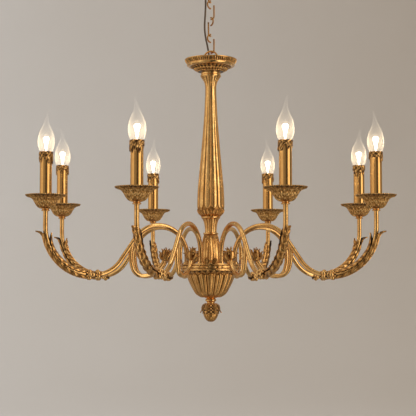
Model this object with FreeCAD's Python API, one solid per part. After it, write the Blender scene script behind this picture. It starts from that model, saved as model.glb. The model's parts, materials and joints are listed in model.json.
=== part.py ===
import FreeCAD, Part
import math
import os

# Eight-arm candle chandelier on a short chain, in millimetres.
# Row frame: origin at the middle of the ceiling bracket's top face, +Z up, -Y to the front.
# Every level below is counted from the top face of the arm hub, and is moved down at the end.

V = FreeCAD.Vector

# ---- arms ----
ARM_COUNT = 8
FIRST_ARM_DEG = 22.5  # from the front, turning towards +X
CANDLE_CIRCLE_R = 365.0
NUT_TO_HUB_WALL = 0.8
TUBE_R = 5.0
TUBE_WALL = 1.0
ARCH_R = 63.0
ARCH_SPRING_Z = 18.0  # where the leg starts to bend
ARM_DIP = 24.0  # the tube's lowest centreline, below the hub's top
OUTER_BEND_SHARE = 0.534  # of the span from the arch to the candle
LOWER_BEND_SHARE = 0.37
BOTTOM_RUN_SHARE = 0.04
LEG_BELOW_HUB = 12.0
WIRE_ROOM = 1.5  # radial room round the wires in the tube

# ---- scroll branch: a bar brazed to the arch, which curls in to a flower ----
SCROLL_UNDER_TUBE = 0.5  # how much thinner the bar is than the tube, in radius
SCROLL_START_DEG = 20.0  # on the arch, above its right-hand side
SCROLL_BENDS = [(1.43, 18.0), (0.368, 72.0), (0.83, 69.5)]  # share of the arch's radius, degrees turned
FLOWER_R = 10.5
FLOWER_SET_BACK = 6.0  # from the bar's end to the flower's middle

# ---- ornaments on each arm ----
KNOB_PAST_BEND = 5.0
KNOB_WALL = 7.0
KNOB_LENGTH = 16.0
BEAD_RING_BEFORE_KNOB = 19.0
BEAD_RING_WALL = 6.0
BEAD_RING_LENGTH = 15.0
LEAF_GAP = 0.3
LEAF_THICKNESS = 2.4
LEAF_WRAP_DEG = 130.0
LEAF_START_DEG = 6.0  # past the bottom of the outer bend, inside the knob
INNER_LEAF_LEAVES_DEG = 57.0  # where the inner leaf leaves the tube, from the bend's bottom
INNER_LEAF_TIP = (66.0, 38.0)  # radius, degrees turned towards the axis
OUTER_LEAF_LEAVES_DEG = 77.0
OUTER_LEAF_TIP = (25.0, 74.0)  # radius, degrees turned away from the axis

# ---- candle ----
PAN_COLLAR_ABOVE_BEND = 31.0
PAN_COLLAR_H = 7.0
PAN_COLLAR_WALL = 3.6
PAN_R = 41.0
PAN_H = 27.0
PAN_WALL = 1.6
PAN_FLOOR = 2.0
PAN_SEAT_MARGIN = 1.0  # from the sleeve to the foot of the pan's side
TUBE_ABOVE_PAN_FLOOR = 8.0
SLEEVE_R = 12.5
SLEEVE_WALL = 1.0
SLEEVE_H = 112.0
WAX_WALL = 2.2
WAX_H = 17.0
WAX_ABOVE_SLEEVE = 1.0
HOLDER_BELOW_SLEEVE_TOP = 4.0
HOLDER_IN_SLEEVE_GAP = 1.0
HOLDER_STEM_WALL = 2.0
HOLDER_WIRE_ROOM = 0.5
HOLDER_FOOT_RIM = 2.0
HOLDER_FOOT_H = 4.0
HOLDER_TAPER = (8.0, 5.0)  # below the socket's floor, where the holder starts and ends to widen
SOCKET_DEPTH = 26.0
SOCKET_FLOOR = 3.0
BULB_CAP_R = 6.8  # E14
BULB_CAP_SHOULDER = 1.4
BULB_CONTACT_R = 3.0
BULB_CONTACT_GAP = 1.5
BULB_R = 17.5
BULB_H = 85.0  # above the sleeve
BULB_WALL = 0.9
BULB_TIP_LEAN = 8.0
BULB_TIP_STEP_DEG = 137.5  # each bulb's bent tip is turned this much from the last
SOCKET_CLEARANCE = 0.5

# ---- hub, bowl and finial ----
HUB_R = 65.0
HUB_H = 14.0
HUB_WALL = 2.2
HUB_PLATE = 4.0
BOWL_H = 59.0
BOWL_WALL = 2.0
FINIAL_H = 50.0
FINIAL_PETAL_R = 21.5
BOWL_NECK_WALL = 4.0
ROD_R = 5.0
ROD_WALL = 1.5
NUT_WALL = 1.5  # across the flats
NUT_H = 6.0
ROD_NUT_WALL = 3.5
ROD_NUT_H = 8.0
FERRULE_WALL = 2.0
FERRULE_H = 4.0
SUPPLY_HOLE_AT = 13.0  # from the rod's axis, in the hub plate
BLOCK_LENGTH = 34.0
BLOCK_WIDTH = 16.0
BLOCK_HEIGHT = 14.0
BLOCK_FROM_AXIS = 14.0
BLOCK_BORE_R = 2.0
BLOCK_WAYS = 4
BLOCK_PITCH = 8.0

# ---- column ----
BELL_H = 103.0
BELL_FOOT_R = 22.0
SHAFT_H = 280.0
SHAFT_BULGE_R = 30.0
SHAFT_NECK_R = 12.2
COLLAR_H = 34.0
COLLAR_R = 22.3
COLUMN_WALL = 2.0
DISH_H = 27.0
DISH_R = 56.8
DISH_FOOT_R = 27.0
DISH_WALL = 2.0
LOOP_RING_R = 15.0  # to the middle of the wire
LOOP_WIRE_R = 2.0
LOOP_STEM_WALL = 2.0
LOOP_STEM_H = 14.0
LOOP_CAP = 4.0  # solid end of the stem, under the ring
LOOP_TURN_DEG = -14.0

# ---- chain, canopy and bracket ----
LINK_COUNT = 4
LINK_WIRE_R = 1.65
LINK_LENGTH = 44.0
LINK_WIDTH = 20.5
LINK_GAP = 0.3
LINK_TURN_DEG = 36.0  # links 1 and 3; the others stand square to them
CANOPY_RING_R = 12.0
CANOPY_R = 57.0
CANOPY_H = 44.5
CANOPY_FLOOR_R = 26.0
CANOPY_WALL = 1.5
CANOPY_LOOP_NECK = 7.0  # from the loop's wire to the canopy's floor
CEILING_GAP = 0.5
BRACKET_LENGTH = 100.0
BRACKET_WIDTH = 20.0
BRACKET_THICKNESS = 2.5
BRACKET_HOLE_SPACING = 70.0
BRACKET_HOLE_R = 2.4

# ---- supply cord, from inside the canopy down to the dish's floor ----
CORD_R = 2.0
CORD_BUSH_R = 3.8
CORD_BUSH_H = 8.0
CORD_BUSH_FLANGE = 1.5  # its width and its thickness
# x, y, and the height above the dish's floor, chosen by hand
CORD_POINTS = [
    (-16.0, 2.0, 244.0),
    (-16.0, 2.0, 224.0),
    (-16.0, 2.0, 207.0),
    (-13.0, 1.6, 186.0),
    (-10.8, 1.0, 160.0),
    (-11.6, 1.0, 128.0),
    (-14.0, 1.6, 98.0),
    (-11.6, 3.2, 75.0),
    (-7.2, 6.6, 56.0),
    (-3.8, 11.0, 38.0),
    (-3.1, 12.5, 18.0),
    (-3.1, 12.5, -2.0),
]

RUN = 0.05  # radial room between a thread or bore and what goes through it
SLIP = 0.2  # radial room round a part that passes freely

# ---- sizes and levels worked out from those above ----
LEG_CIRCLE_R = HUB_R - HUB_WALL - NUT_TO_HUB_WALL - NUT_WALL - TUBE_R
SPAN = CANDLE_CIRCLE_R - LEG_CIRCLE_R - 2 * ARCH_R
OUTER_BEND_R = OUTER_BEND_SHARE * SPAN
LOWER_BEND_R = LOWER_BEND_SHARE * SPAN
BOTTOM_RUN = BOTTOM_RUN_SHARE * SPAN
OUTER_BEND_START = V(CANDLE_CIRCLE_R - OUTER_BEND_R, 0, -ARM_DIP)
WIRE_R = TUBE_R - TUBE_WALL - WIRE_ROOM
SCROLL_R = TUBE_R - SCROLL_UNDER_TUBE
WAX_R = SLEEVE_R + RUN + WAX_WALL
HOLDER_R = SLEEVE_R - SLEEVE_WALL - HOLDER_IN_SLEEVE_GAP
HOLDER_STEM_R = TUBE_R + HOLDER_STEM_WALL
BOWL_NECK_R = ROD_R + BOWL_NECK_WALL
LOOP_STEM_R = ROD_R + LOOP_STEM_WALL
PAN_COLLAR_Z = OUTER_BEND_R - ARM_DIP + PAN_COLLAR_ABOVE_BEND
PAN_Z = PAN_COLLAR_Z + PAN_COLLAR_H
PAN_FLOOR_Z = PAN_Z + PAN_FLOOR
TUBE_TOP_Z = PAN_FLOOR_Z + TUBE_ABOVE_PAN_FLOOR
SLEEVE_TOP_Z = PAN_FLOOR_Z + SLEEVE_H
HOLDER_TOP_Z = SLEEVE_TOP_Z - HOLDER_BELOW_SLEEVE_TOP
SHAFT_Z = BELL_H
COLLAR_Z = SHAFT_Z + SHAFT_H
DISH_Z = COLLAR_Z + COLLAR_H
DISH_FLOOR_Z = DISH_Z + DISH_WALL
LOOP_Z = DISH_FLOOR_Z + LOOP_STEM_H + LOOP_RING_R - 0.5 * LOOP_WIRE_R
LINK_END_R = LINK_WIDTH / 2 - LINK_WIRE_R
LINK_PITCH = LINK_LENGTH - 4 * LINK_WIRE_R - LINK_GAP
FIRST_LINK_Z = LOOP_Z + LOOP_RING_R - LOOP_WIRE_R - LINK_WIRE_R - LINK_GAP
LAST_LINK_TOP_Z = FIRST_LINK_Z + LINK_PITCH * LINK_COUNT + 2 * LINK_WIRE_R + LINK_GAP
CANOPY_RING_Z = LAST_LINK_TOP_Z - LINK_WIRE_R - LOOP_WIRE_R - LINK_GAP + CANOPY_RING_R
CANOPY_Z = CANOPY_RING_Z + CANOPY_RING_R + LOOP_WIRE_R + CANOPY_LOOP_NECK
CEILING_Z = CANOPY_Z + CANOPY_H + CEILING_GAP
BOWL_Z = -HUB_H - BOWL_H
FINIAL_Z = BOWL_Z - FINIAL_H


# ---- shapes ----
def flat(point):
    """A point of a drawing (radius, height) as a point in the XZ plane."""
    return V(point[0], 0, point[1])


def outline(start, *steps):
    """A closed face in the XZ plane. A step is a point, reached by a line, or a list, a smooth curve."""
    edges, at = [], flat(start)
    for step in steps:
        ends = [flat(p) for p in (step if isinstance(step, list) else [step])]
        if len(ends) == 1:
            edges.append(Part.LineSegment(at, ends[0]).toShape())
        else:
            smooth = Part.BSplineCurve()
            smooth.interpolate([at] + ends)
            edges.append(smooth.toShape())
        at = ends[-1]
    if not at.isEqual(flat(start), 1e-7):
        edges.append(Part.LineSegment(at, flat(start)).toShape())
    return Part.Face(Part.Wire(edges))


def turned(start, *steps):
    """A solid turned about the Z axis from its half outline."""
    return outline(start, *steps).revolve(V(0, 0, 0), V(0, 0, 1), 360)


def inside(points, wall):
    """The points of a curve, moved in by a wall's thickness, for curves drawn upwards."""
    moved = []
    for i, (r, z) in enumerate(points):
        before, after = points[max(i - 1, 0)], points[min(i + 1, len(points) - 1)]
        dr, dz = after[0] - before[0], after[1] - before[1]
        length = math.hypot(dr, dz)
        moved.append((r - wall * dz / length, z + wall * dr / length))
    return moved


def ring(inner_r, outer_r, low, high):
    return turned((inner_r, low), (outer_r, low), (outer_r, high), (inner_r, high))


def cylinder(radius, low, high, x=0.0, y=0.0):
    return Part.makeCylinder(radius, high - low, V(x, y, low))


def hexagon(flats, low, high, bore_r):
    """A hexagon nut whose flats face along X."""
    corner = flats / math.sqrt(3)
    angles = [math.radians(60 * i + 30) for i in range(7)]
    corners = [V(corner * math.cos(a), corner * math.sin(a), low) for a in angles]
    body = Part.Face(Part.makePolygon(corners)).extrude(V(0, 0, high - low))
    return body.cut(cylinder(bore_r, low - 1, high + 1))


def merged(first, *others):
    return first.fuse(list(others)).removeSplitter()


def disc(centre, normal, radius, bore_r=0.0):
    """A round face, or an annulus, to sweep along a path."""
    face = Part.Face(Part.Wire(Part.makeCircle(radius, centre, normal)))
    if bore_r:
        face = face.cut(Part.Face(Part.Wire(Part.makeCircle(bore_r, centre, normal)))).Faces[0]
    return face


def route(start, heading_deg, *steps):
    """A path in the XZ plane. A step is a length to run, or (radius, degrees), where + turns left.
    Returns the path, its end and its end heading."""
    edges, at, heading = [], V(*start), heading_deg
    for step in steps:
        turn = math.radians(heading)
        ahead = V(math.cos(turn), 0, math.sin(turn))
        if not isinstance(step, tuple):
            end = at + ahead * step
            edges.append(Part.LineSegment(at, end).toShape())
        else:
            radius, degrees = step
            side = math.copysign(1, degrees)
            to_centre = V(-ahead.z, 0, ahead.x) * (radius * side)
            centre = at + to_centre
            stops = [turned_about_y(to_centre * -1, degrees * share) for share in (0.5, 1)]
            end = centre + stops[1]
            edges.append(Part.Arc(at, centre + stops[0], end).toShape())
            heading += degrees
        at = end
    return Part.Wire(edges), at, heading


def turned_about_y(vector, degrees):
    """A vector in the XZ plane, turned from +X towards +Z."""
    a = math.radians(degrees)
    return V(
        vector.x * math.cos(a) - vector.z * math.sin(a),
        0,
        vector.x * math.sin(a) + vector.z * math.cos(a),
    )


def heading_vector(degrees):
    return turned_about_y(V(1, 0, 0), degrees)


def on_arm(shape, index):
    """A shape drawn in the XZ plane, moved to arm number index (from 0)."""
    angle = FIRST_ARM_DEG + 360.0 / ARM_COUNT * index - 90.0
    return shape.rotated(V(0, 0, 0), V(0, 0, 1), angle)


def at_candle(shape):
    return shape.translated(V(CANDLE_CIRCLE_R, 0, 0))


def on_every_arm(shape):
    """One solid for each arm, in one group."""
    return Part.makeCompound([on_arm(shape, i) for i in range(ARM_COUNT)])


# ---- arms ----
def arm_steps():
    """The arm's centreline: leg, arch, slanting run, lower bend, outer bend and stem."""
    arch = V(LEG_CIRCLE_R + ARCH_R, 0, ARCH_SPRING_Z)
    lower = V(OUTER_BEND_START.x - BOTTOM_RUN, 0, LOWER_BEND_R - ARM_DIP)
    apart = lower - arch
    reach = ARCH_R + LOWER_BEND_R
    leaves = math.degrees(math.atan2(apart.z, apart.x) + math.acos(reach / apart.Length))
    slant = math.sqrt(apart.Length**2 - reach**2)
    stem = TUBE_TOP_Z - (OUTER_BEND_R - ARM_DIP)
    return [
        ARCH_SPRING_Z + LEG_BELOW_HUB,
        (ARCH_R, leaves - 180.0),
        slant,
        (LOWER_BEND_R, 90.0 - leaves),
        BOTTOM_RUN,
        (OUTER_BEND_R, 90.0),
        stem,
    ]


def arm_sweep(radius, bore_r=0.0):
    start = (LEG_CIRCLE_R, 0, -LEG_BELOW_HUB)
    path, _, _ = route(start, 90.0, *arm_steps())
    return path.makePipe(disc(V(*start), V(0, 0, 1), radius, bore_r))


def scroll_bar():
    """The branch's centreline goes on round the arch's circle, then tightens. Returns it with its end."""
    arch = V(LEG_CIRCLE_R + ARCH_R, 0, ARCH_SPRING_Z)
    start = arch + heading_vector(SCROLL_START_DEG) * ARCH_R
    heading = SCROLL_START_DEG - 90.0
    bends = [(ARCH_R, -SCROLL_START_DEG)] + [(share * ARCH_R, -turn) for share, turn in SCROLL_BENDS]
    path, end, heading = route(tuple(start), heading, *bends)
    first = heading_vector(SCROLL_START_DEG - 90.0)
    return path.makePipe(disc(start, first, SCROLL_R)), end, heading_vector(heading)


def along_arm(radius, length, past_bend):
    """A turned ornament round the tube, near the bottom of the outer bend."""
    half = length / 2
    body = turned((0, -half), (0.6 * radius, -half), [(radius, 0), (0.6 * radius, half)], (0, half))
    body.rotate(V(0, 0, 0), V(0, 1, 0), 90)
    return body.translated(OUTER_BEND_START + V(past_bend, 0, 0))


def leaf(side, leaves_deg, tip):
    """A leaf that hugs one side of the tube round the outer bend, then leaves it. side is 1 inside."""
    centre = OUTER_BEND_START + V(0, 0, OUTER_BEND_R)
    first = turned_about_y(OUTER_BEND_START - centre, LEAF_START_DEG)
    start, ahead = centre + first, heading_vector(LEAF_START_DEG)
    low = TUBE_R + LEAF_GAP
    high = low + LEAF_THICKNESS
    across, up = V(0, 1, 0), turned_about_y(ahead, 90.0) * side
    corners = {}
    for radius in (low, high):
        for share in (-0.5, 0, 0.5):
            a = math.radians(LEAF_WRAP_DEG * share)
            corners[radius, share] = start + (across * math.sin(a) + up * math.cos(a)) * radius
    edges = [
        Part.Arc(corners[low, -0.5], corners[low, 0], corners[low, 0.5]).toShape(),
        Part.LineSegment(corners[low, 0.5], corners[high, 0.5]).toShape(),
        Part.Arc(corners[high, 0.5], corners[high, 0], corners[high, -0.5]).toShape(),
        Part.LineSegment(corners[high, -0.5], corners[low, -0.5]).toShape(),
    ]
    steps = [(OUTER_BEND_R, leaves_deg - LEAF_START_DEG), (tip[0], tip[1] * side)]
    path, _, _ = route(tuple(start), LEAF_START_DEG, *steps)
    return path.makePipe(Part.Face(Part.Wire(edges)))


def arm_parts():
    """The pieces of one arm, drawn in the XZ plane."""
    solid_arm = arm_sweep(TUBE_R)
    bar, bar_end, ahead = scroll_bar()
    flower = Part.makeSphere(FLOWER_R, bar_end + ahead * FLOWER_SET_BACK)
    knob = along_arm(TUBE_R + KNOB_WALL, KNOB_LENGTH, KNOB_PAST_BEND)
    bead = along_arm(TUBE_R + BEAD_RING_WALL, BEAD_RING_LENGTH, KNOB_PAST_BEND - BEAD_RING_BEFORE_KNOB)
    bore, nut_top = TUBE_R + RUN, -HUB_PLATE
    ferrule = ring(bore, TUBE_R + FERRULE_WALL, 0, FERRULE_H)
    nut = hexagon(2 * (TUBE_R + NUT_WALL), nut_top - NUT_H, nut_top, bore)
    return {
        "arm_tube": arm_sweep(TUBE_R, TUBE_R - TUBE_WALL),
        "scroll_branch": bar.cut(solid_arm),
        "scroll_flowers": flower.cut(bar),
        "arm_knobs": knob.cut(solid_arm),
        "bead_rings": bead.cut(solid_arm),
        "inner_leaves": leaf(1, INNER_LEAF_LEAVES_DEG, INNER_LEAF_TIP).cut(knob),
        "outer_leaves": leaf(-1, OUTER_LEAF_LEAVES_DEG, OUTER_LEAF_TIP).cut(knob),
        "arm_wires": arm_sweep(WIRE_R),
        "arm_ferrules": ferrule.translated(V(LEG_CIRCLE_R, 0, 0)),
        "arm_nuts": nut.translated(V(LEG_CIRCLE_R, 0, 0)),
    }


# ---- candles ----
def pan_collar():
    """Two bevelled rings, the lower one wider."""
    low, up = PAN_COLLAR_Z, PAN_COLLAR_H
    bore = TUBE_R + RUN
    waist, wide, narrow = bore + 0.6 * PAN_COLLAR_WALL, bore + PAN_COLLAR_WALL, bore + 0.8 * PAN_COLLAR_WALL
    return turned(
        (bore, low), (waist, low), (wide, low + 0.17 * up), (wide, low + 0.34 * up), (waist, low + 0.5 * up),
        (narrow, low + 0.65 * up), (narrow, low + 0.8 * up), (waist, low + up), (bore, low + up),
    )  # fmt: skip


def drip_pan():
    """A shallow bowl with a wide flared rim. The sleeve stands on its flat floor."""
    floor_r = SLEEVE_R + PAN_SEAT_MARGIN
    rise = PAN_H / 27.0
    flare = (PAN_R - floor_r) / 27.5
    side = [(floor_r, PAN_Z + 1.0)]
    for out, up in ((5.6, 7.5), (10.8, 15.5), (17.8, 22.0), (27.5, 26.0)):
        side.append((floor_r + out * flare, PAN_Z + up * rise))
    inner = inside(side, PAN_WALL)
    bore = TUBE_R + SLIP
    return turned(
        (bore, PAN_Z),
        (floor_r - 4.0, PAN_Z),
        side[0],
        side[1:],
        inner[-1],
        inner[-2:0:-1] + [(floor_r - 0.4, PAN_FLOOR_Z)],
        (bore, PAN_FLOOR_Z),
    )


def candle_sleeve():
    return ring(SLEEVE_R - SLEEVE_WALL, SLEEVE_R, PAN_FLOOR_Z, SLEEVE_TOP_Z)


def wax_collar():
    high = SLEEVE_TOP_Z + WAX_ABOVE_SLEEVE
    return ring(SLEEVE_R + RUN, WAX_R, high - WAX_H, high)


def lamp_holder():
    """A candle lamp holder: socket, hollow stem and the base that screws on to the arm's end."""
    bore, stem_bore, foot_r = TUBE_R + RUN, WIRE_R + HOLDER_WIRE_ROOM, HOLDER_STEM_R + HOLDER_FOOT_RIM
    socket_r = BULB_CAP_R + SOCKET_CLEARANCE
    socket_floor = HOLDER_TOP_Z - SOCKET_DEPTH
    return turned(
        (bore, PAN_FLOOR_Z),
        (foot_r, PAN_FLOOR_Z),
        (foot_r, PAN_FLOOR_Z + HOLDER_FOOT_H),
        (HOLDER_STEM_R, PAN_FLOOR_Z + HOLDER_FOOT_H),
        (HOLDER_STEM_R, socket_floor - HOLDER_TAPER[0]),
        (HOLDER_R, socket_floor - HOLDER_TAPER[1]),
        (HOLDER_R, HOLDER_TOP_Z),
        (socket_r, HOLDER_TOP_Z),
        (socket_r, socket_floor),
        (0, socket_floor),
        (0, socket_floor - SOCKET_FLOOR),
        (stem_bore, socket_floor - SOCKET_FLOOR),
        (stem_bore, TUBE_TOP_Z),
        (bore, TUBE_TOP_Z),
    )


def bulb(index):
    """A candle bulb: a glass flame with a bent tip, on an E14 cap. The two are separate solids."""
    glass_z = HOLDER_TOP_Z + 2.0
    shoulder = BULB_CAP_R + BULB_CAP_SHOULDER
    contact_z = HOLDER_TOP_Z - SOCKET_DEPTH + BULB_CONTACT_GAP
    cap = turned(
        (0, contact_z),
        (BULB_CONTACT_R, contact_z),
        (BULB_CAP_R, contact_z + 3.0),
        (BULB_CAP_R, HOLDER_TOP_Z + 0.3),
        (shoulder, HOLDER_TOP_Z + 0.5),
        (shoulder, glass_z),
        (0, glass_z),
    )
    low, tall = SLEEVE_TOP_Z, BULB_H / 85.0
    belly = [(shoulder, glass_z)]
    for share, up in ((0.6, 0.5), (0.76, 4.0), (1.0, 21.0), (0.92, 36.0), (0.62, 48.0), (0.29, 58.0)):
        belly.append((BULB_R * share, low + up * tall))
    inner = inside(belly, BULB_WALL)
    neck_r, neck_z = belly[-1]
    envelope = turned(
        belly[0], belly[1:], (0, neck_z), (0, neck_z - 2.0), (inner[-1][0], neck_z - 2.0),
        inner[-2:0:-1] + [(shoulder - BULB_WALL, glass_z)],
    )  # fmt: skip
    rise = SLEEVE_TOP_Z + BULB_H - neck_z
    rounds = []
    for share, thickness in ((0.0, 1.0), (0.33, 0.58), (0.68, 0.36), (1.0, 0.2)):
        centre = V(BULB_TIP_LEAN * share**1.7, 0, neck_z + rise * share)
        rounds.append(Part.Wire(Part.makeCircle(neck_r * thickness, centre, V(0, 0, 1))))
    glass = envelope.fuse(Part.makeLoft(rounds, True))
    pair = Part.makeCompound([cap, glass])
    return pair.rotated(V(0, 0, 0), V(0, 0, 1), BULB_TIP_STEP_DEG * index)


# ---- hub, bowl and finial ----
def arm_hub():
    """A shallow drum, open below, that carries the arms and the column."""
    inner = HUB_R - HUB_WALL
    drum = turned(
        (ROD_R + SLIP, -HUB_PLATE), (inner, -HUB_PLATE), (inner, -HUB_H), (HUB_R, -HUB_H),
        (HUB_R, 0), (ROD_R + SLIP, 0),
    )  # fmt: skip
    leg_hole = cylinder(TUBE_R + RUN, -HUB_PLATE - 1, 1, LEG_CIRCLE_R)
    holes = [on_arm(leg_hole, i) for i in range(ARM_COUNT)]
    holes += [cylinder(1.75 * CORD_R, -HUB_PLATE - 1, 1, side * SUPPLY_HOLE_AT, 0) for side in (-1, 1)]
    return drum.cut(Part.makeCompound(holes))


def bowl():
    top = -HUB_H
    wide = HUB_R - 11.0
    side = [(0.37 * wide, BOWL_Z + 1.5)]
    for share, up in ((0.62, 14.0), (0.78, 29.0), (0.92, 44.0), (1.0, 57.0)):
        side.append((wide * share, BOWL_Z + up * BOWL_H / 59.0))
    inner = inside(side, BOWL_WALL)
    bore = ROD_R + SLIP
    lip = HUB_R - 1.0
    return turned(
        (bore, BOWL_Z), (BOWL_NECK_R, BOWL_Z), side[0], side[1:], (lip, top - BOWL_WALL), (lip, top),
        (inner[-1][0], top), inner[-1], inner[-2::-1], (bore, BOWL_Z + BOWL_WALL),
    )  # fmt: skip


def finial():
    """A pine cone in a cup of petals, with the neck that clamps the bowl."""
    petals, tip = FINIAL_Z + 0.38 * FINIAL_H, FINIAL_Z
    neck = BOWL_Z - 0.14 * FINIAL_H
    bore, bore_end = ROD_R + RUN, BOWL_Z - 0.44 * FINIAL_H
    return turned(
        (bore, BOWL_Z),
        (BOWL_NECK_R, BOWL_Z),
        (BOWL_NECK_R, neck),
        [(0.78 * FINIAL_PETAL_R, neck - 5.0), (0.95 * FINIAL_PETAL_R, petals + 7.0), (FINIAL_PETAL_R, petals)],
        (0.75 * FINIAL_PETAL_R, petals - 1.0),
        [(0.7 * FINIAL_PETAL_R, petals - 8.0), (0.45 * FINIAL_PETAL_R, tip + 3.0), (0, tip)],
        (0, bore_end),
        (bore, bore_end),
    )  # fmt: skip


def rod_nut(top):
    return hexagon(2 * (ROD_R + ROD_NUT_WALL), top - ROD_NUT_H, top, ROD_R + RUN)


def terminal_block():
    """Four-way block under the hub plate, where the arm wires meet the supply."""
    corner = V(-BLOCK_LENGTH / 2, BLOCK_FROM_AXIS, -HUB_PLATE - BLOCK_HEIGHT)
    block = Part.makeBox(BLOCK_LENGTH, BLOCK_WIDTH, BLOCK_HEIGHT, corner)
    for i in range(BLOCK_WAYS):
        x = BLOCK_PITCH * (i - (BLOCK_WAYS - 1) / 2)
        start = V(x, BLOCK_FROM_AXIS - 1, -HUB_PLATE - 0.36 * BLOCK_HEIGHT)
        block = block.cut(Part.makeCylinder(BLOCK_BORE_R, BLOCK_WIDTH + 2, start, V(0, 1, 0)))
    return block


# ---- column ----
def column_bell():
    """The lower column: a foot, a tapering bell, a ring, a waist and the flare under the shaft."""
    up = BELL_H / 103.0
    side = [(BELL_FOOT_R, 6 * up), (0.93 * BELL_FOOT_R, 28 * up), (0.78 * BELL_FOOT_R, 50 * up)]
    side.append((0.66 * BELL_FOOT_R, 63 * up))
    inner = inside(side, COLUMN_WALL)
    waist, flare = 0.58 * BELL_FOOT_R, 0.9 * BELL_FOOT_R
    return turned(
        (BELL_FOOT_R - COLUMN_WALL, 0),
        (BELL_FOOT_R, 0),
        side[0],
        side[1:],
        (0.7 * BELL_FOOT_R, 65 * up),
        (0.66 * BELL_FOOT_R, 67 * up),
        (waist, 69 * up),
        [(waist, 76 * up), (0.66 * BELL_FOOT_R, 88 * up), (0.8 * BELL_FOOT_R, 97 * up)],
        (flare, 98 * up),
        (flare, BELL_H),
        (waist - COLUMN_WALL, BELL_H),
        (waist - COLUMN_WALL, 69 * up),
        inner[-1],
        inner[-2::-1],
    )


def column_shaft():
    """The baluster: round below, tapering to a narrow neck."""
    up = SHAFT_H / 280.0
    spread = SHAFT_BULGE_R - SHAFT_NECK_R
    side = [(0.87 * BELL_FOOT_R, SHAFT_Z)]
    for share, z in ((0.82, 8.0), (1.0, 24.0), (0.93, 55.0), (0.49, 142.0), (0.17, 210.0), (0.0, 262.0)):
        side.append((SHAFT_NECK_R + share * spread, SHAFT_Z + z * up))
    side.append((SHAFT_NECK_R, COLLAR_Z))
    inner = inside(side, COLUMN_WALL)
    foot_bore, neck_bore = side[0][0] - 5.0, SHAFT_NECK_R - COLUMN_WALL
    return turned(
        (foot_bore, SHAFT_Z), side[0], side[1:], (neck_bore, COLLAR_Z),
        inner[-2:1:-1], (inner[1][0] - 1.0, SHAFT_Z + COLUMN_WALL + 1.0), (foot_bore, SHAFT_Z + COLUMN_WALL),
    )  # fmt: skip


def column_collar():
    """The capital under the dish: a bell that opens to two rings."""
    up = COLLAR_H / 34.0
    side = [(SHAFT_NECK_R + 0.3, COLLAR_Z), (SHAFT_NECK_R + 2.0, COLLAR_Z + 7 * up)]
    side += [(0.85 * COLLAR_R, COLLAR_Z + 18 * up), (COLLAR_R - 1.0, COLLAR_Z + 22 * up)]
    inner = inside(side, COLUMN_WALL)
    rim = COLLAR_R - COLUMN_WALL - 1.0
    return turned(
        (SHAFT_NECK_R - COLUMN_WALL, COLLAR_Z),
        side[0],
        side[1:],
        (COLLAR_R, COLLAR_Z + 24 * up),
        (COLLAR_R, COLLAR_Z + 30 * up),
        (COLLAR_R - 1.5, DISH_Z),
        (rim - 2.0, DISH_Z),
        (rim - 2.0, COLLAR_Z + 26 * up),
        inner[-2:0:-1] + [(SHAFT_NECK_R - COLUMN_WALL, COLLAR_Z + 1.0)],
    )


def cord_hole(low, high, point):
    return cylinder(CORD_BUSH_R + RUN, low, high, point[0], point[1])


def top_dish():
    """An open dish whose flat floor is clamped between the column and the hanging loop."""
    out, up = (DISH_R - DISH_FOOT_R) / 29.8, DISH_H / 24.0
    side = [(DISH_FOOT_R, DISH_Z)]
    for r, z in ((9.0, 4.5), (19.0, 9.5), (27.5, 14.5)):
        side.append((DISH_FOOT_R + r * out, DISH_Z + z * up))
    inner = inside(side, DISH_WALL)
    bore = ROD_R + SLIP
    dish = turned(
        (bore, DISH_Z), side[0], side[1:], (DISH_R, DISH_Z + 16 * up), (DISH_R, DISH_Z + DISH_H),
        (DISH_R - DISH_WALL, DISH_Z + DISH_H), (DISH_R - DISH_WALL, inner[-1][1] + 1.0),
        inner[-2:0:-1] + [(DISH_FOOT_R - 0.5, DISH_FLOOR_Z)], (bore, DISH_FLOOR_Z),
    )  # fmt: skip
    return dish.cut(cord_hole(DISH_Z - 1, DISH_FLOOR_Z + 1, CORD_POINTS[-1]))


def cord_bush(middle, point, flange_side):
    """A flanged bush that keeps the cord off a hole's edge. flange_side is 1 for a flange on top."""
    bore = CORD_R + SLIP
    low, high = middle - CORD_BUSH_H / 2, middle + CORD_BUSH_H / 2
    tube = ring(bore, CORD_BUSH_R, low, high)
    rim = middle + flange_side * CORD_BUSH_H / 2
    edge = rim - flange_side * CORD_BUSH_FLANGE
    flange = ring(bore, CORD_BUSH_R + CORD_BUSH_FLANGE, min(edge, rim), max(edge, rim))
    return merged(tube, flange).translated(V(point[0], point[1], 0))


def threaded_loop(ring_r, ring_z, stem_low, stem_high, bore_low, bore_high, turn_deg):
    """A ring of round wire on a threaded stem."""
    wire = Part.makeTorus(ring_r, LOOP_WIRE_R, V(0, 0, ring_z), V(0, 1, 0))
    stem = cylinder(LOOP_STEM_R, stem_low, stem_high)
    loop = merged(wire, stem).cut(cylinder(ROD_R + RUN, bore_low, bore_high))
    return loop.rotated(V(0, 0, 0), V(0, 0, 1), turn_deg)


def hanging_loop():
    low, high = DISH_FLOOR_Z, DISH_FLOOR_Z + LOOP_STEM_H
    return threaded_loop(LOOP_RING_R, LOOP_Z, low, high, low - 1, high - LOOP_CAP, LOOP_TURN_DEG)


def centre_rod():
    low, high = BOWL_Z - 0.4 * FINIAL_H, DISH_FLOOR_Z + LOOP_STEM_H - LOOP_CAP - 1.0
    return ring(ROD_R - ROD_WALL, ROD_R, low, high)


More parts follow.
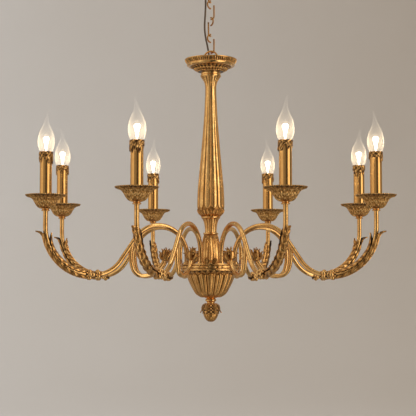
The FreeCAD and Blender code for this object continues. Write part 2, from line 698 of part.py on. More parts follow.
# ---- chain, canopy and bracket ----
def chain_link(index):
    """An oval link of round wire. Link 0 is the lowest, and carries the hanging loop."""
    bottom = FIRST_LINK_Z + LINK_PITCH * index
    top = bottom + LINK_LENGTH - 2 * LINK_WIRE_R
    low, high = bottom + LINK_END_R, top - LINK_END_R
    lower_end = Part.makeTorus(LINK_END_R, LINK_WIRE_R, V(0, 0, low), V(0, 1, 0), 0, 360, 180)
    upper_end = lower_end.rotated(V(0, 0, low), V(0, 1, 0), 180).translated(V(0, 0, high - low))
    sides = [cylinder(LINK_WIRE_R, low, high, x) for x in (-LINK_END_R, LINK_END_R)]
    link = merged(lower_end, upper_end, *sides)
    return link.rotated(V(0, 0, 0), V(0, 0, 1), LINK_TURN_DEG + 90.0 * (index % 2))


def canopy_loop():
    low, high = CANOPY_RING_Z + CANOPY_RING_R - 1.0, CANOPY_Z
    turn = LINK_TURN_DEG + 90.0 * (LINK_COUNT % 2)
    return threaded_loop(CANOPY_RING_R, CANOPY_RING_Z, low, high, low + 3.0, high + 1.0, turn)


def ceiling_canopy():
    """A stepped cup that covers the bracket and the wiring."""
    rim, top = CANOPY_R, CANOPY_Z + CANOPY_H
    step_r, step_z = 0.84 * CANOPY_R, CANOPY_Z + 0.6 * CANOPY_H
    side = [(CANOPY_FLOOR_R, CANOPY_Z)]
    side += [(0.62 * CANOPY_R, CANOPY_Z + 0.14 * CANOPY_H), (0.76 * CANOPY_R, CANOPY_Z + 0.35 * CANOPY_H)]
    side.append((step_r, step_z))
    inner = inside(side, CANOPY_WALL)
    bore = ROD_R + SLIP
    cup = turned(
        (bore, CANOPY_Z), side[0], side[1:], (rim, step_z + 1.0), (rim, top), (rim - CANOPY_WALL, top),
        (rim - CANOPY_WALL, step_z + 1.0 + CANOPY_WALL), (step_r - 2.0, step_z + CANOPY_WALL),
        inner[-2:0:-1] + [(CANOPY_FLOOR_R - 0.5, CANOPY_Z + CANOPY_WALL)], (bore, CANOPY_Z + CANOPY_WALL),
    )  # fmt: skip
    return cup.cut(cord_hole(CANOPY_Z - 1, CANOPY_Z + CANOPY_WALL + 1, CORD_POINTS[0]))


def ceiling_bracket():
    low = CEILING_Z - BRACKET_THICKNESS
    size = V(BRACKET_LENGTH, BRACKET_WIDTH, BRACKET_THICKNESS)
    strip = Part.makeBox(*size, V(-BRACKET_LENGTH / 2, -BRACKET_WIDTH / 2, low))
    holes = [cylinder(ROD_R + RUN, low - 1, CEILING_Z + 1)]
    for x in (-BRACKET_HOLE_SPACING / 2, BRACKET_HOLE_SPACING / 2):
        holes.append(cylinder(BRACKET_HOLE_R, low - 1, CEILING_Z + 1, x))
    return strip.cut(Part.makeCompound(holes))


def bracket_nipple():
    low = CANOPY_RING_Z + CANOPY_RING_R + 3.0
    return ring(ROD_R - ROD_WALL, ROD_R, low, CEILING_Z - 0.5)


def supply_cord():
    """Straight runs joined by tangent arcs, through the chosen points."""
    points = [V(x, y, z + DISH_FLOOR_Z) for x, y, z in CORD_POINTS]
    edges, at = [], points[0]
    for before, here, after in zip(points, points[1:], points[2:]):
        back, on = here - before, after - here
        half_turn = back.getAngle(on) / 2
        if half_turn < 1e-6:  # straight on
            continue
        cut = 0.45 * min(back.Length, on.Length)
        into, out = here - back.normalize() * cut, here + on.normalize() * cut
        radius = cut / math.tan(half_turn)
        inward = ((into + out) * 0.5 - here).normalize()
        middle = here + inward * (radius / math.cos(half_turn) - radius)
        edges.append(Part.LineSegment(at, into).toShape())
        edges.append(Part.Arc(into, middle, out).toShape())
        at = out
        print(f"cord bend of {2 * math.degrees(half_turn):.0f} degrees, radius {radius:.0f} mm")
    edges.append(Part.LineSegment(at, points[-1]).toShape())
    path = Part.Wire(edges)
    cord = path.makePipe(disc(points[0], points[1] - points[0], CORD_R))
    print(f"cord length {path.Length:.1f} mm, volume {cord.Volume:.0f}, "
          f"section times length {math.pi * CORD_R**2 * path.Length:.0f}")  # fmt: skip
    return cord


def build():
    """Every sub-part by name, at its place above and below the hub's top."""
    parts = {
        "ceiling_bracket": ceiling_bracket(),
        "bracket_nipple": bracket_nipple(),
        "nipple_locknut": rod_nut(CEILING_Z - BRACKET_THICKNESS),
        "ceiling_canopy": ceiling_canopy(),
        "canopy_cord_bush": cord_bush(CANOPY_Z + CANOPY_WALL / 2, CORD_POINTS[0], -1),
        "canopy_loop": canopy_loop(),
        "supply_cord": supply_cord(),
        "hanging_loop": hanging_loop(),
        "top_dish": top_dish(),
        "dish_cord_bush": cord_bush(DISH_Z + DISH_WALL / 2, CORD_POINTS[-1], 1),
        "column_collar": column_collar(),
        "column_shaft": column_shaft(),
        "column_bell": column_bell(),
        "centre_rod": centre_rod(),
        "rod_nut": rod_nut(-HUB_PLATE),
        "arm_hub": arm_hub(),
        "terminal_block": terminal_block(),
        "bowl": bowl(),
        "finial": finial(),
        "pan_collars": on_every_arm(at_candle(pan_collar())),
        "drip_pans": on_every_arm(at_candle(drip_pan())),
        "candle_sleeves": on_every_arm(at_candle(candle_sleeve())),
        "wax_collars": on_every_arm(at_candle(wax_collar())),
        "lamp_holders": on_every_arm(at_candle(lamp_holder())),
    }
    for index in range(LINK_COUNT):
        parts[f"chain_link_{index + 1}"] = chain_link(index)
    for name, shape in arm_parts().items():
        if name in ("arm_tube", "scroll_branch"):
            for index in range(ARM_COUNT):
                parts[f"{name}_{index + 1}"] = on_arm(shape, index)
        else:
            parts[name] = on_every_arm(shape)
    for index in range(ARM_COUNT):
        parts[f"bulb_{index + 1}"] = on_arm(at_candle(bulb(index)), index)
    return parts


os.makedirs("parts", exist_ok=True)
for node, shape in build().items():
    shape.translated(V(0, 0, -CEILING_Z)).exportStep(f"parts/{node}.step")
print(f"hub top {-CEILING_Z:.2f}, finial tip {FINIAL_Z - CEILING_Z:.2f}")
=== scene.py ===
import json
import math

import bmesh
import bpy
import numpy as np
from mathutils import Matrix, Vector

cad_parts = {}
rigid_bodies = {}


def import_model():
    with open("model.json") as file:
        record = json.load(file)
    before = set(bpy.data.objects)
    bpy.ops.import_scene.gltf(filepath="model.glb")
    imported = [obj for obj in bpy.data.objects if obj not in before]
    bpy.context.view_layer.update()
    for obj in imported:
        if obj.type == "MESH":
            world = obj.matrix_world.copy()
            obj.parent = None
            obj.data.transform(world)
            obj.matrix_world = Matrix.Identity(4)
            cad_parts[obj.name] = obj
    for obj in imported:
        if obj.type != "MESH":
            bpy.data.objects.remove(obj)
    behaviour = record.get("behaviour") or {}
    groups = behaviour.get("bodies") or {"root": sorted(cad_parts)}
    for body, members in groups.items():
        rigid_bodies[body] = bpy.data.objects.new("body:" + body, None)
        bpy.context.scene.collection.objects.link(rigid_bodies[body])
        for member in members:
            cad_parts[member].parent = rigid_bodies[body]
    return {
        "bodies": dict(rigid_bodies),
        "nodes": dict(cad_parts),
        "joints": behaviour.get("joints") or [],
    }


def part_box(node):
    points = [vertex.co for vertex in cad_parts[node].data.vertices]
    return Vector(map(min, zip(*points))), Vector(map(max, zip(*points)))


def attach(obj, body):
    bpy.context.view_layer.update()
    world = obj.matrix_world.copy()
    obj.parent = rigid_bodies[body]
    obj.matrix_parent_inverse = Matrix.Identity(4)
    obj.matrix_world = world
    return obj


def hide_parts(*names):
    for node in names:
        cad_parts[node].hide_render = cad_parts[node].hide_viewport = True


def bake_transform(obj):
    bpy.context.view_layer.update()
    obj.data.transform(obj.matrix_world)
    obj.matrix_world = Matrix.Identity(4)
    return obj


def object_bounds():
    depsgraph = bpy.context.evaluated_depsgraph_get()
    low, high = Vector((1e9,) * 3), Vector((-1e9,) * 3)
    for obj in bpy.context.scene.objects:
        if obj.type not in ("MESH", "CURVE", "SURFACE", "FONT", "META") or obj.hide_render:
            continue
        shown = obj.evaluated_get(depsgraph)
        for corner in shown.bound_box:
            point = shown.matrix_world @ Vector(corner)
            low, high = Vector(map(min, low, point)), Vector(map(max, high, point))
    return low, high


bl_info = {
    "name": "Candle chandelier",
    "version": (1, 0, 0),
    "blender": (4, 5, 0),
    "location": "View3D > Sidebar > Chandelier",
    "description": "Cast brass, candles, bulbs and flex built round a fixed frame",
    "category": "Object",
}

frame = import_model()
CAD_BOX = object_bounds()


# ---- places, from the frame. Outlines are written in millimetres above the hub's top ----
MM = 0.001
TURN = 2 * math.pi


def low(node):
    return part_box(node)[0].z


def high(node):
    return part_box(node)[1].z


def reach(node):
    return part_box(node)[1].x


ARM_COUNT = sum(name.startswith("bulb_body") for name in frame["bodies"])
FIRST_ARM_DEG = 22.5
HUB_TOP = high("arm_hub")
SLEEVE_R = 12.5
TUBE_R = 5.0
CANDLE_R = (reach("candle_sleeves") / MM - SLEEVE_R) / math.cos(math.radians(FIRST_ARM_DEG))
OUTER_BEND_R = 98.0
ARM_DIP = 24.0
SLEEVE_TOP = (high("candle_sleeves") - HUB_TOP) / MM
PAN_BASE = (low("drip_pans") - HUB_TOP) / MM
DISH_BASE = (low("top_dish") - HUB_TOP) / MM
DISH_FLOOR = DISH_BASE + 2.0
SHAFT_BASE = (low("column_shaft") - HUB_TOP) / MM
CAPITAL_BASE = (low("column_collar") - HUB_TOP) / MM
BOWL_BASE = (low("bowl") - HUB_TOP) / MM
FINIAL_TIP = (low("finial") - HUB_TOP) / MM
CANOPY_BASE = (low("ceiling_canopy") - HUB_TOP) / MM
CANOPY_TOP = (high("ceiling_canopy") - HUB_TOP) / MM
FLOWER_AT = (103.9, 13.8)  # from the axis, above the hub's top
FLOWER_LEAN_DEG = 20.5  # from upright, towards the axis


def arm_matrix(index, radius=0.0, level=0.0):
    """From a drawing in the XZ plane to arm number index (from 0)."""
    turn = Matrix.Rotation(math.radians(FIRST_ARM_DEG - 90.0 + 360.0 / ARM_COUNT * index), 4, "Z")
    return turn @ Matrix.Translation((radius * MM, 0, HUB_TOP + level * MM))


# ---- shader maths ----
class Signal:
    """An output socket that can stand in a sum. Each sum or product adds a Math node."""

    def __init__(self, shader, socket):
        self.shader, self.socket = shader, socket

    def sum(self, operation, first, second):
        return self.shader.node("ShaderNodeMath", {"operation": operation}, {0: first, 1: second})

    def __add__(self, other):
        return self.sum("ADD", self, other)

    __radd__ = __add__

    def __sub__(self, other):
        return self.sum("SUBTRACT", self, other)

    def __rsub__(self, other):
        return self.sum("SUBTRACT", other, self)

    def __mul__(self, other):
        return self.sum("MULTIPLY", self, other)

    __rmul__ = __mul__

    def __pow__(self, other):
        return self.sum("POWER", self, other)

    def kept(self, least, most):
        return self.sum("MAXIMUM", self.sum("MINIMUM", self, most), least)


class Shader:
    """The nodes of a material or of a world."""

    def __init__(self, holder):
        holder.use_nodes = True
        self.holder = holder
        self.nodes, self.links = holder.node_tree.nodes, holder.node_tree.links
        self.nodes.clear()

    def node(self, kind, settings=None, inputs=None, output=0):
        """Adds a node: its settings first, then the values or links of its sockets."""
        made = self.nodes.new(kind)
        for name, value in (settings or {}).items():
            if name == "stops":
                self.set_stops(made.color_ramp.elements, value)
            else:
                setattr(made, name, value)
        for name, value in (inputs or {}).items():
            if isinstance(value, Signal):
                self.links.new(value.socket, made.inputs[name])
            else:
                made.inputs[name].default_value = value
        return Signal(self, made.outputs[output]) if made.outputs else None

    @staticmethod
    def set_stops(elements, stops):
        while len(elements) < len(stops):
            elements.new(1.0)
        for element, (position, colour) in zip(elements, stops):
            element.position = position
            element.color = colour

    def noise(self, where, scale, detail=3.0, roughness=0.55):
        sockets = {"Vector": where, "Scale": scale, "Detail": detail, "Roughness": roughness}
        return self.node("ShaderNodeTexNoise", {}, sockets, "Fac")

    def colours(self, share, first, second):
        return self.node("ShaderNodeMix", {"data_type": "RGBA"}, {0: share, 6: first, 7: second}, 2)

    def bump(self, height, depth, strength):
        return self.node(
            "ShaderNodeBump", {}, {"Height": height, "Distance": depth, "Strength": strength}, "Normal"
        )

    def principled(self, **sockets):
        named = {name.replace("_", " "): value for name, value in sockets.items()}
        return self.node("ShaderNodeBsdfPrincipled", {}, named, "BSDF")

    def done(self, surface, kind="ShaderNodeOutputMaterial"):
        self.node(kind, {}, {"Surface": surface})
        return self.holder


def new_material(name):
    return Shader(bpy.data.materials.new(f"{name}_finish"))


def finish(name):
    return bpy.data.materials[f"{name}_finish"]


def colour(value):
    """A colour property as four numbers."""
    return (*value, 1.0)


FLECK_SCALE = 420.0  # fine specks and casting grain, per metre
BODY_AT, TARNISH_AT = 0.32, 0.9  # how much tarnish and painted shade there is where each colour is reached
CLEAN_DIRT = 0.14  # even clean brass is a little dull


def brass(name, bright, body, tarnish, roughness, grime, pits=0.35, mottle=60.0):
    """Brass with a dark patina and painted shade in its recesses, cloudy tarnish and a fine cast or brushed
    surface.
    """
    made = new_material(name)
    where = made.node("ShaderNodeTexCoord", output="Object")
    # recess holds painted shade, with patina, in the hollows of the relief
    recess = made.node("ShaderNodeAttribute", {"attribute_name": "recess"}, output="Fac")
    cloud = made.noise(where, mottle, 4.0, 0.6)
    fleck = made.noise(where, FLECK_SCALE, 2.0)
    # Painted shade and patina from the recesses, plus cloudy tarnish and specks, darken the colour.
    grime_and_shade = (recess + (cloud - 0.5) * grime + (fleck - 0.5) * grime * 0.6 + CLEAN_DIRT).kept(0.0, 1.0)
    ramp = {"stops": [(0.0, colour(bright)), (BODY_AT, colour(body)), (TARNISH_AT, colour(tarnish))]}
    paint = made.node("ShaderNodeValToRGB", ramp, {0: grime_and_shade}, "Color")
    return made.done(
        made.principled(
            Base_Color=paint,
            Metallic=1.0 - grime_and_shade * 0.25,
            Roughness=(grime_and_shade * 0.3 + cloud * 0.08 + roughness).kept(0.05, 0.8),
            Normal=made.bump(fleck + cloud * 0.5, 0.0004, pits),
        )
    )


def plain_metal(name, tone, roughness):
    made = new_material(name)
    where = made.node("ShaderNodeTexCoord", output="Object")
    cloud = made.noise(where, 90.0)
    paint = made.colours(cloud, colour([0.8 * part for part in tone]), colour(tone))
    return made.done(
        made.principled(Base_Color=paint, Metallic=1.0, Roughness=cloud * 0.2 + roughness)
    )


def plastic(name, tone, roughness):
    made = new_material(name)
    where = made.node("ShaderNodeTexCoord", output="Object")
    grain = made.noise(where, 700.0)
    paint = made.colours(grain, colour([0.75 * part for part in tone]), colour(tone))
    return made.done(
        made.principled(
            Base_Color=paint, Roughness=grain * 0.15 + roughness, Normal=made.bump(grain, 0.0001, 0.3)
        )
    )


def bulb_glass_material(look):
    """Thin clear glass: it shows what is behind it, shines at its edges and holds a warm haze."""
    made = new_material("bulb_glass")
    haze = made.node("ShaderNodeAttribute", {"attribute_name": "haze"}, output="Fac")
    edge = made.node("ShaderNodeLayerWeight", {}, {"Blend": 0.3}, "Facing")
    glass = made.principled(
        Base_Color=(0.3, 0.28, 0.25, 1.0), Roughness=0.05, Emission_Color=colour(look.haze_colour),
        Emission_Strength=look.haze_strength,
    )  # fmt: skip
    clear = made.node("ShaderNodeBsdfTransparent", {}, {}, "BSDF")
    share = (edge * edge * 0.42 + haze * look.haze_density + 0.03).kept(0.0, 0.9)
    return made.done(made.node("ShaderNodeMixShader", {}, {0: share, 1: clear, 2: glass}, "Shader"))


def glow_material(name, tone, strength, density):
    """Light that is thick in its middle and fades to nothing at its edge."""
    made = new_material(name)
    light = made.node("ShaderNodeEmission", {}, {"Color": colour(tone), "Strength": strength}, "Emission")
    if density >= 1.0:
        return made.done(light)
    edge = made.node("ShaderNodeLayerWeight", {}, {"Blend": 0.5}, "Facing")
    share = (1.0 - edge) ** 1.6 * density
    clear = made.node("ShaderNodeBsdfTransparent", {}, {}, "BSDF")
    return made.done(made.node("ShaderNodeMixShader", {}, {0: share, 1: clear, 2: light}, "Shader"))


# ---- meshes ----
SHARP_DEG = 40.0  # edges sharper than this stay crisp
WELD = 2e-6  # points closer than this are one point
ONE_SPAN = 1e9  # a spacing so wide that a straight step stays one span
TUBE_SIDE_HINT = (0.3, 0.9, 0.2)  # any direction that no tube starts along


def smooth_line(knots, spacing):
    """Points at an even spacing along a smooth curve through the knots."""
    knots = np.array(knots, float)
    dense = knots
    if len(knots) > 2:
        beyond = np.vstack([2 * knots[0] - knots[1], knots, 2 * knots[-1] - knots[-2]])
        share = np.linspace(0, 1, 12, endpoint=False)[:, None]
        spans = []
        for a, b, c, d in zip(beyond, beyond[1:], beyond[2:], beyond[3:]):
            cubic = (3 * b - a - 3 * c + d) * share**3 + (2 * a - 5 * b + 4 * c - d) * share**2
            spans.append(0.5 * (2 * b + (c - a) * share + cubic))
        dense = np.vstack(spans + [knots[-1:]])
    along = np.concatenate([[0], np.cumsum(np.linalg.norm(np.diff(dense, axis=0), axis=1))])
    stops = np.linspace(0, along[-1], max(1, round(along[-1] / spacing)) + 1)
    return np.column_stack([np.interp(stops, along, dense[:, k]) for k in range(dense.shape[1])])


class Form:
    """Vertices, faces and recess shades (painted shade, with patina, in the hollows) that grow into one mesh.
    """

    def __init__(self):
        self.points, self.faces, self.shades, self.count = [], [], [], 0

    def grid(self, points, shades=0.0, close_rows=False, caps=False):
        """A net of quads over points (rows, columns, 3), closed round its columns."""
        rows, columns = points.shape[:2]
        numbers = np.arange(rows * columns).reshape(rows, columns) + self.count
        upper = np.roll(numbers, -1, axis=0) if close_rows else numbers[1:]
        lower = numbers if close_rows else numbers[:-1]
        quads = np.stack(
            [lower, np.roll(lower, -1, axis=1), np.roll(upper, -1, axis=1), upper], axis=-1
        )
        self.faces += quads.reshape(-1, 4).tolist()
        if caps:
            self.faces += [numbers[0][::-1].tolist(), numbers[-1].tolist()]
        self.points.append(points.reshape(-1, 3))
        self.shades.append(np.broadcast_to(shades, (rows, columns)).reshape(-1))
        self.count += rows * columns
        return self

    def mesh(self, name, attribute="recess"):
        """The finished mesh, with its shades kept under the attribute's name."""
        made = bpy.data.meshes.new(name)
        made.from_pydata(np.vstack(self.points).tolist(), [], self.faces)
        shade = made.attributes.new(attribute, "FLOAT", "POINT")
        shade.data.foreach_set("value", np.concatenate(self.shades).astype(np.float32))
        work = bmesh.new()
        work.from_mesh(made)
        bmesh.ops.remove_doubles(work, verts=work.verts, dist=WELD)
        bmesh.ops.recalc_face_normals(work, faces=work.faces)
        work.to_mesh(made)
        work.free()
        made.shade_smooth()
        made.set_sharp_from_angle(angle=math.radians(SHARP_DEG))
        return made


def lifted(base, steps, stretch=1.0):
    """An outline whose heights are measured from a base, and stretched if need be."""
    return [
        lifted(base, step, stretch) if isinstance(step, list) else (step[0], base + step[1] * stretch)
        for step in steps
    ]


def turned(form, outline, columns, bands=(), spacing=0.8):
    """Turns a closed outline (radius, height in mm) about Z. Its first point is the start. Each step after
    it is a point, reached by a line, or a list, a smooth curve. bands are (first step, last step, relief),
    with the steps after the start counted from 0."""
    start, *steps = outline
    banded = {step for first, last, _ in bands for step in range(first, last + 1)}
    rows, marks = [np.array([start], float)], [0]
    for number, step in enumerate(steps):
        knots = [rows[-1][-1]] + (step if isinstance(step, list) else [step])
        fine = number in banded or isinstance(step, list)
        rows.append(smooth_line(knots, spacing if fine else ONE_SPAN)[1:])
        marks.append(marks[-1] + len(rows[-1]))
    line = np.vstack(rows)
    if np.allclose(line[0], line[-1]):
        line = line[:-1]
    ahead = np.roll(line, -1, axis=0) - np.roll(line, 1, axis=0)
    ahead /= np.maximum(np.linalg.norm(ahead, axis=1), 1e-9)[:, None]
    angle = TURN * np.arange(columns)[None, :] / columns
    raised = np.zeros((len(line), columns))
    shades = np.zeros((len(line), columns))
    for first, last, relief in bands:
        part = slice(marks[first], min(marks[last + 1] + 1, len(line)))
        stretch = line[part]
        along = np.concatenate([[0], np.cumsum(np.linalg.norm(np.diff(stretch, axis=0), axis=1))])
        share = (along / max(along[-1], 1e-9))[:, None]
        # Each relief paints shade, with patina, into its own hollows.
        height, shade = relief(angle, share)
        raised[part] += height
        shades[part] = np.maximum(shades[part], shade)
    radius = line[:, :1] + raised * ahead[:, 1:]
    level = line[:, 1:] - raised * ahead[:, :1]
    points = np.stack([radius * np.cos(angle), radius * np.sin(angle), level], axis=-1)
    return form.grid(points * MM, shades, close_rows=True)


def cell(angle, count, phase=0.0):
    """Where an angle lies across one of count equal cells, from -1 to 1."""
    return np.mod(angle * count / TURN + phase, 1.0) * 2 - 1


def ends(share, rise, fall):
    """1 along a band, falling to 0 at its two ends."""
    up = np.clip(share / max(rise, 1e-6), 0, 1)
    down = np.clip((1 - share) / max(fall, 1e-6), 0, 1)
    return np.sin(np.minimum(up, down) * math.pi / 2)


def reeds(count, depths, rise=0.05, fall=0.05, phase=0.0, round_ends=True):
    """Convex reeds with narrow grooves between. depths are (share, mm) along the band."""

    def relief(angle, share):
        across = cell(angle, count, phase)
        depth = np.interp(share, [d[0] for d in depths], [d[1] for d in depths])
        reach_in = ends(share, rise, fall)
        wide = np.maximum(reach_in, 0.02) if round_ends else 1.0
        groove = 1 - np.sqrt(np.clip(1 - np.clip(np.abs(across) / wide, 0, 1) ** 2.4, 0, 1))
        if not round_ends:
            groove = groove * reach_in
        strong = np.clip(depth / max(d[1] for d in depths), 0, 1) ** 0.7
        open_shade = np.where(reach_in < 0.999, 0.35, 0.85) if round_ends else 0.85
        # The grooves get painted shade, with patina.
        return -depth * groove, np.clip(groove * 1.25 - 0.2, 0, 1) * open_shade * strong

    return relief


def leaves(count, height, phase=0.0, fullness=1.0, veins=4.0, widest=0.4, ground=0.75):
    """A ring of pointed leaves from the band's start to its end, with ribs and veins."""

    def relief(angle, share):
        across = cell(angle, count, phase)
        outline = np.sin(math.pi * np.clip(share, 0, 1) ** (math.log(0.5) / math.log(widest)))
        half = fullness * np.maximum(outline, 1e-3) ** 0.7
        lobe = 1 + 0.13 * np.sin(TURN * veins * share + 0.6)
        x = np.abs(across) / (half * lobe)
        body = np.sqrt(np.clip(1 - x**2, 0, 1))
        rib = np.exp(-((x / 0.15) ** 2))
        vein = 0.5 + 0.5 * np.cos(TURN * (veins * share - 0.9 * x))
        raised = body * (0.4 + 0.6 * rib + 0.5 * vein * (1 - rib))
        # Below the ribs and between the leaves the ground gets painted shade, with patina.
        return height * raised, np.clip(1.1 - raised * 1.5, 0, 1) * ground

    return relief


def beads(count, height, phase=0.0, ground=0.9):
    """A row of round beads that fills the band."""

    def relief(angle, share):
        across = cell(angle, count, phase)
        ball = np.sqrt(np.clip(1 - across**2 - (share * 2 - 1) ** 2, 0, 1))
        # Between the beads the ground gets painted shade, with patina.
        return height * ball, np.clip(1 - ball * 1.6, 0, 1) * ground

    return relief


def flutes(count, depth):
    """Narrow upright flutes with a land between each two, as on a milled rim."""

    def relief(angle, share):
        across = cell(angle, count)
        hollow = np.clip(1 - (np.abs(across) / 0.62) ** 2, 0, 1) * ends(share, 0.2, 0.2)
        # The flutes' hollows get painted shade, with patina.
        return -depth * hollow, hollow * 0.85

    return relief


def layered(*reliefs):
    """Reliefs on the same band, one over another."""

    def relief(angle, share):
        found = [one(angle, share) for one in reliefs]
        height, shade = found[0]
        height, shade = height + np.zeros_like(angle), shade + np.zeros_like(angle)
        for more, tone in found[1:]:
            over = more > height
            height, shade = np.where(over, more, height), np.where(over, tone, np.minimum(shade, tone))
        return height, shade

    return relief


def studded(form, stations, columns, core, balls, place):
    """A surface round the X axis: its core radius at each station, or the outermost ball there. balls are
    (station, angle, ring radius, ball radius), all in mm. place maps the points."""
    x = np.array(stations, float)[:, None]
    angle = TURN * np.arange(columns)[None, :] / columns
    radius = np.array(core, float)[:, None] + np.zeros_like(angle)
    # The core between the balls and each ball's rim get painted shade, with patina.
    shades = np.full(radius.shape, 0.9)
    for at, turn, ring_r, ball_r in balls:
        off = np.mod(angle - turn + math.pi, TURN) - math.pi
        inside = ball_r**2 - (x - at) ** 2 - (ring_r * np.sin(off)) ** 2
        outer = ring_r * np.cos(off) + np.sqrt(np.clip(inside, 0, None))
        hit = (inside > 0) & (np.cos(off) > 0) & (outer > radius)
        radius = np.where(hit, outer, radius)
        shades = np.where(hit, np.clip(1 - 1.8 * np.sqrt(np.clip(inside, 0, None)) / ball_r, 0, 1), shades)
    points = np.stack([x + 0 * angle, radius * np.cos(angle), radius * np.sin(angle)], axis=-1)
    return form.grid(place(points) * MM, shades, caps=True)


def tube(form, centres, radii, sides, caps=True):
    """A round tube along centres (mm), with a radius for each."""
    centres = np.array(centres, float)
    radii = np.broadcast_to(radii, len(centres))
    ahead = np.gradient(centres, axis=0)
    ahead /= np.linalg.norm(ahead, axis=1)[:, None]
    side = np.cross(ahead[0], TUBE_SIDE_HINT)
    rings = []
    for centre, tangent, radius in zip(centres, ahead, radii):
        side = side - tangent * side.dot(tangent)
        side /= np.linalg.norm(side)
        other = np.cross(tangent, side)
        angle = TURN * np.arange(sides)[:, None] / sides
        rings.append(centre + radius * (np.cos(angle) * side + np.sin(angle) * other))
    return form.grid(np.array(rings) * MM, caps=caps)


def show(name, mesh, material, replaced, body="fixture", matrix=None):
    """Puts a mesh in the scene as a piece that rides on a body and stands for CAD nodes."""
    piece = bpy.data.objects.new(name, mesh)
    bpy.context.scene.collection.objects.link(piece)
    if not mesh.materials:
        mesh.materials.append(finish(material))
    piece.matrix_world = matrix or Matrix.Translation((0, 0, HUB_TOP))
    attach(piece, body)
    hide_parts(*replaced)
    return piece


def show_on_arms(name, mesh, material, replaced, radius=0.0):
    """One copy of a mesh on each arm."""
    for index in range(ARM_COUNT):
        show(f"{name}_{index + 1}", mesh, material, replaced, matrix=arm_matrix(index, radius))


# ---- sizes and finishes that a user would change ----
def tone(name, description, default):
    return bpy.props.FloatVectorProperty(
        name=name, description=description, default=default, subtype="COLOR", size=3, min=0.0, max=1.0
    )


def amount(name, description, default, least=0.0, most=10.0):
    return bpy.props.FloatProperty(name=name, description=description, default=default, min=least, max=most)


def number(name, description, default):
    return bpy.props.IntProperty(name=name, description=description, default=default, min=3, max=120)


def depth(name, description, default):
    return bpy.props.FloatProperty(
        name=name, description=description, default=default * MM, unit="LENGTH", precision=5
    )


def power(name, description, default):
    return bpy.props.FloatProperty(name=name, description=description, default=default, unit="POWER")


class FinishSettings(bpy.types.PropertyGroup):
    """Colours and roughness of the metals."""

    bright: tone("Worn brass", "Where hands and cloths have polished it", (0.98, 0.6, 0.23))
    body: tone("Aged brass", "The colour of most of the surface", (0.6, 0.285, 0.075))
    # The darkest colour, reached in the recesses: patina there, and painted shade too.
    tarnish: tone("Tarnish", "The patina left in recesses", (0.035, 0.014, 0.005))
    roughness: amount("Roughness", "Roughness of clean brass", 0.09, 0.0, 1.0)
    grime: amount("Grime", "How cloudy the tarnish is", 0.6)


class ColumnSettings(bpy.types.PropertyGroup):
    """Relief on the column, the hub, the bowl and the dish."""

    reeds: number("Shaft reeds", "Convex reeds round the shaft", 12)
    reed_depth: depth("Reed depth", "Depth of the grooves at the widest part", 2.2)
    bell_leaves: number("Bell leaves", "Tall leaves round the bell", 8)
    gadroons: number("Bowl ribs", "Leaf-shaped ribs round the bowl", 16)
    rim_flutes: number("Rim flutes", "Flutes round the dish's rim", 72)
    bead_count: number("Dish beads", "Beads in the dish's hollow moulding", 30)


class ArmSettings(bpy.types.PropertyGroup):
    """Leaves, berries and flowers on the arms, and the pans."""

    leaf_half_width: depth("Leaf half width", "Half the widest width, measured round the leaf", 11.5)
    leaf_lobes: number("Leaf lobes", "Toothed lobes along each edge", 9)
    berries: number("Berries", "Berries round each knob", 6)
    pan_leaves: number("Pan leaves", "Leaves round each pan", 12)
    pan_scallops: number("Pan scallops", "Scallops on each pan's rim", 52)


class BulbSettings(bpy.types.PropertyGroup):
    """How the lit bulbs look."""

    glow_colour: tone("Glow", "Colour of the light", (1.0, 0.78, 0.48))
    haze_colour: tone("Haze", "Colour of the lit glass", (1.0, 0.86, 0.7))
    haze_strength: amount("Haze strength", "Brightness of the lit glass", 0.42)
    haze_density: amount("Haze density", "How much the lit glass hides", 0.05, 0.0, 1.0)
    filament_strength: amount("Filament strength", "Brightness of the filaments", 18.0, 0.0, 100.0)
    lamp_power: power("Lamp power", "Light that each bulb gives", 0.35)


class CordSettings(bpy.types.PropertyGroup):
    """The supply cord beside the chain."""

    diameter: depth("Diameter", "Outer diameter of the flex", 4.0)
    jacket: tone("Jacket", "Colour of the flex", (0.045, 0.026, 0.012))


class StudioSettings(bpy.types.PropertyGroup):
    """Floor, backdrop, lights and camera."""

    backdrop: tone("Backdrop", "Colour of the floor and the backdrop", (0.66, 0.65, 0.65))
    # The darker right-hand colour is painted shade.
    backdrop_shade: tone("Backdrop, right", "Its colour towards the right", (0.5, 0.45, 0.40))
    key_power: power("Window", "Large soft light", 330.0)
    fill_power: power("Walls", "Weaker lights", 130.0)
    sky: amount("Room", "Brightness of the room that the metal reflects", 1.0)
    lens: bpy.props.FloatProperty(name="Lens", description="Focal length", default=104.97, unit="CAMERA")


GROUPS = {
    "chandelier_finish": FinishSettings,
    "chandelier_column": ColumnSettings,
    "chandelier_arm": ArmSettings,
    "chandelier_bulb": BulbSettings,
    "chandelier_cord": CordSettings,
    "chandelier_studio": StudioSettings,
}


# ---- column, hub, bowl and dish ----
def make_shaft(look):
    """Baluster with convex reeds, a ring of leaves at its foot and a plain neck."""
    z = SHAFT_BASE
    deep = look.reed_depth / MM
    grooves = reeds(look.reeds, [(0, deep), (0.25, deep), (0.75, 0.45 * deep), (1, 0.1)], 0.04, 0.02)
    foot = leaves(look.reeds * 2, 1.2, phase=0.5, fullness=1.0, veins=1.0, widest=0.35, ground=0.5)
    form = turned(
        Form(),
        lifted(z, [(9, 0), (19.1, 0), [(21.4, 1.5), (26.4, 7), (29.2, 14)],
         [(30, 24), (28.9, 55), (25.4, 95), (20.9, 142), (15.2, 210), (12.4, 262)],
         (12.2, 280), (9, 280), (9, 0)]),
        336, [(1, 1, foot), (2, 2, grooves)], spacing=1.05,
    )  # fmt: skip
    show("column_shaft_reeded", form.mesh("shaft"), "aged_brass", ["column_shaft"])


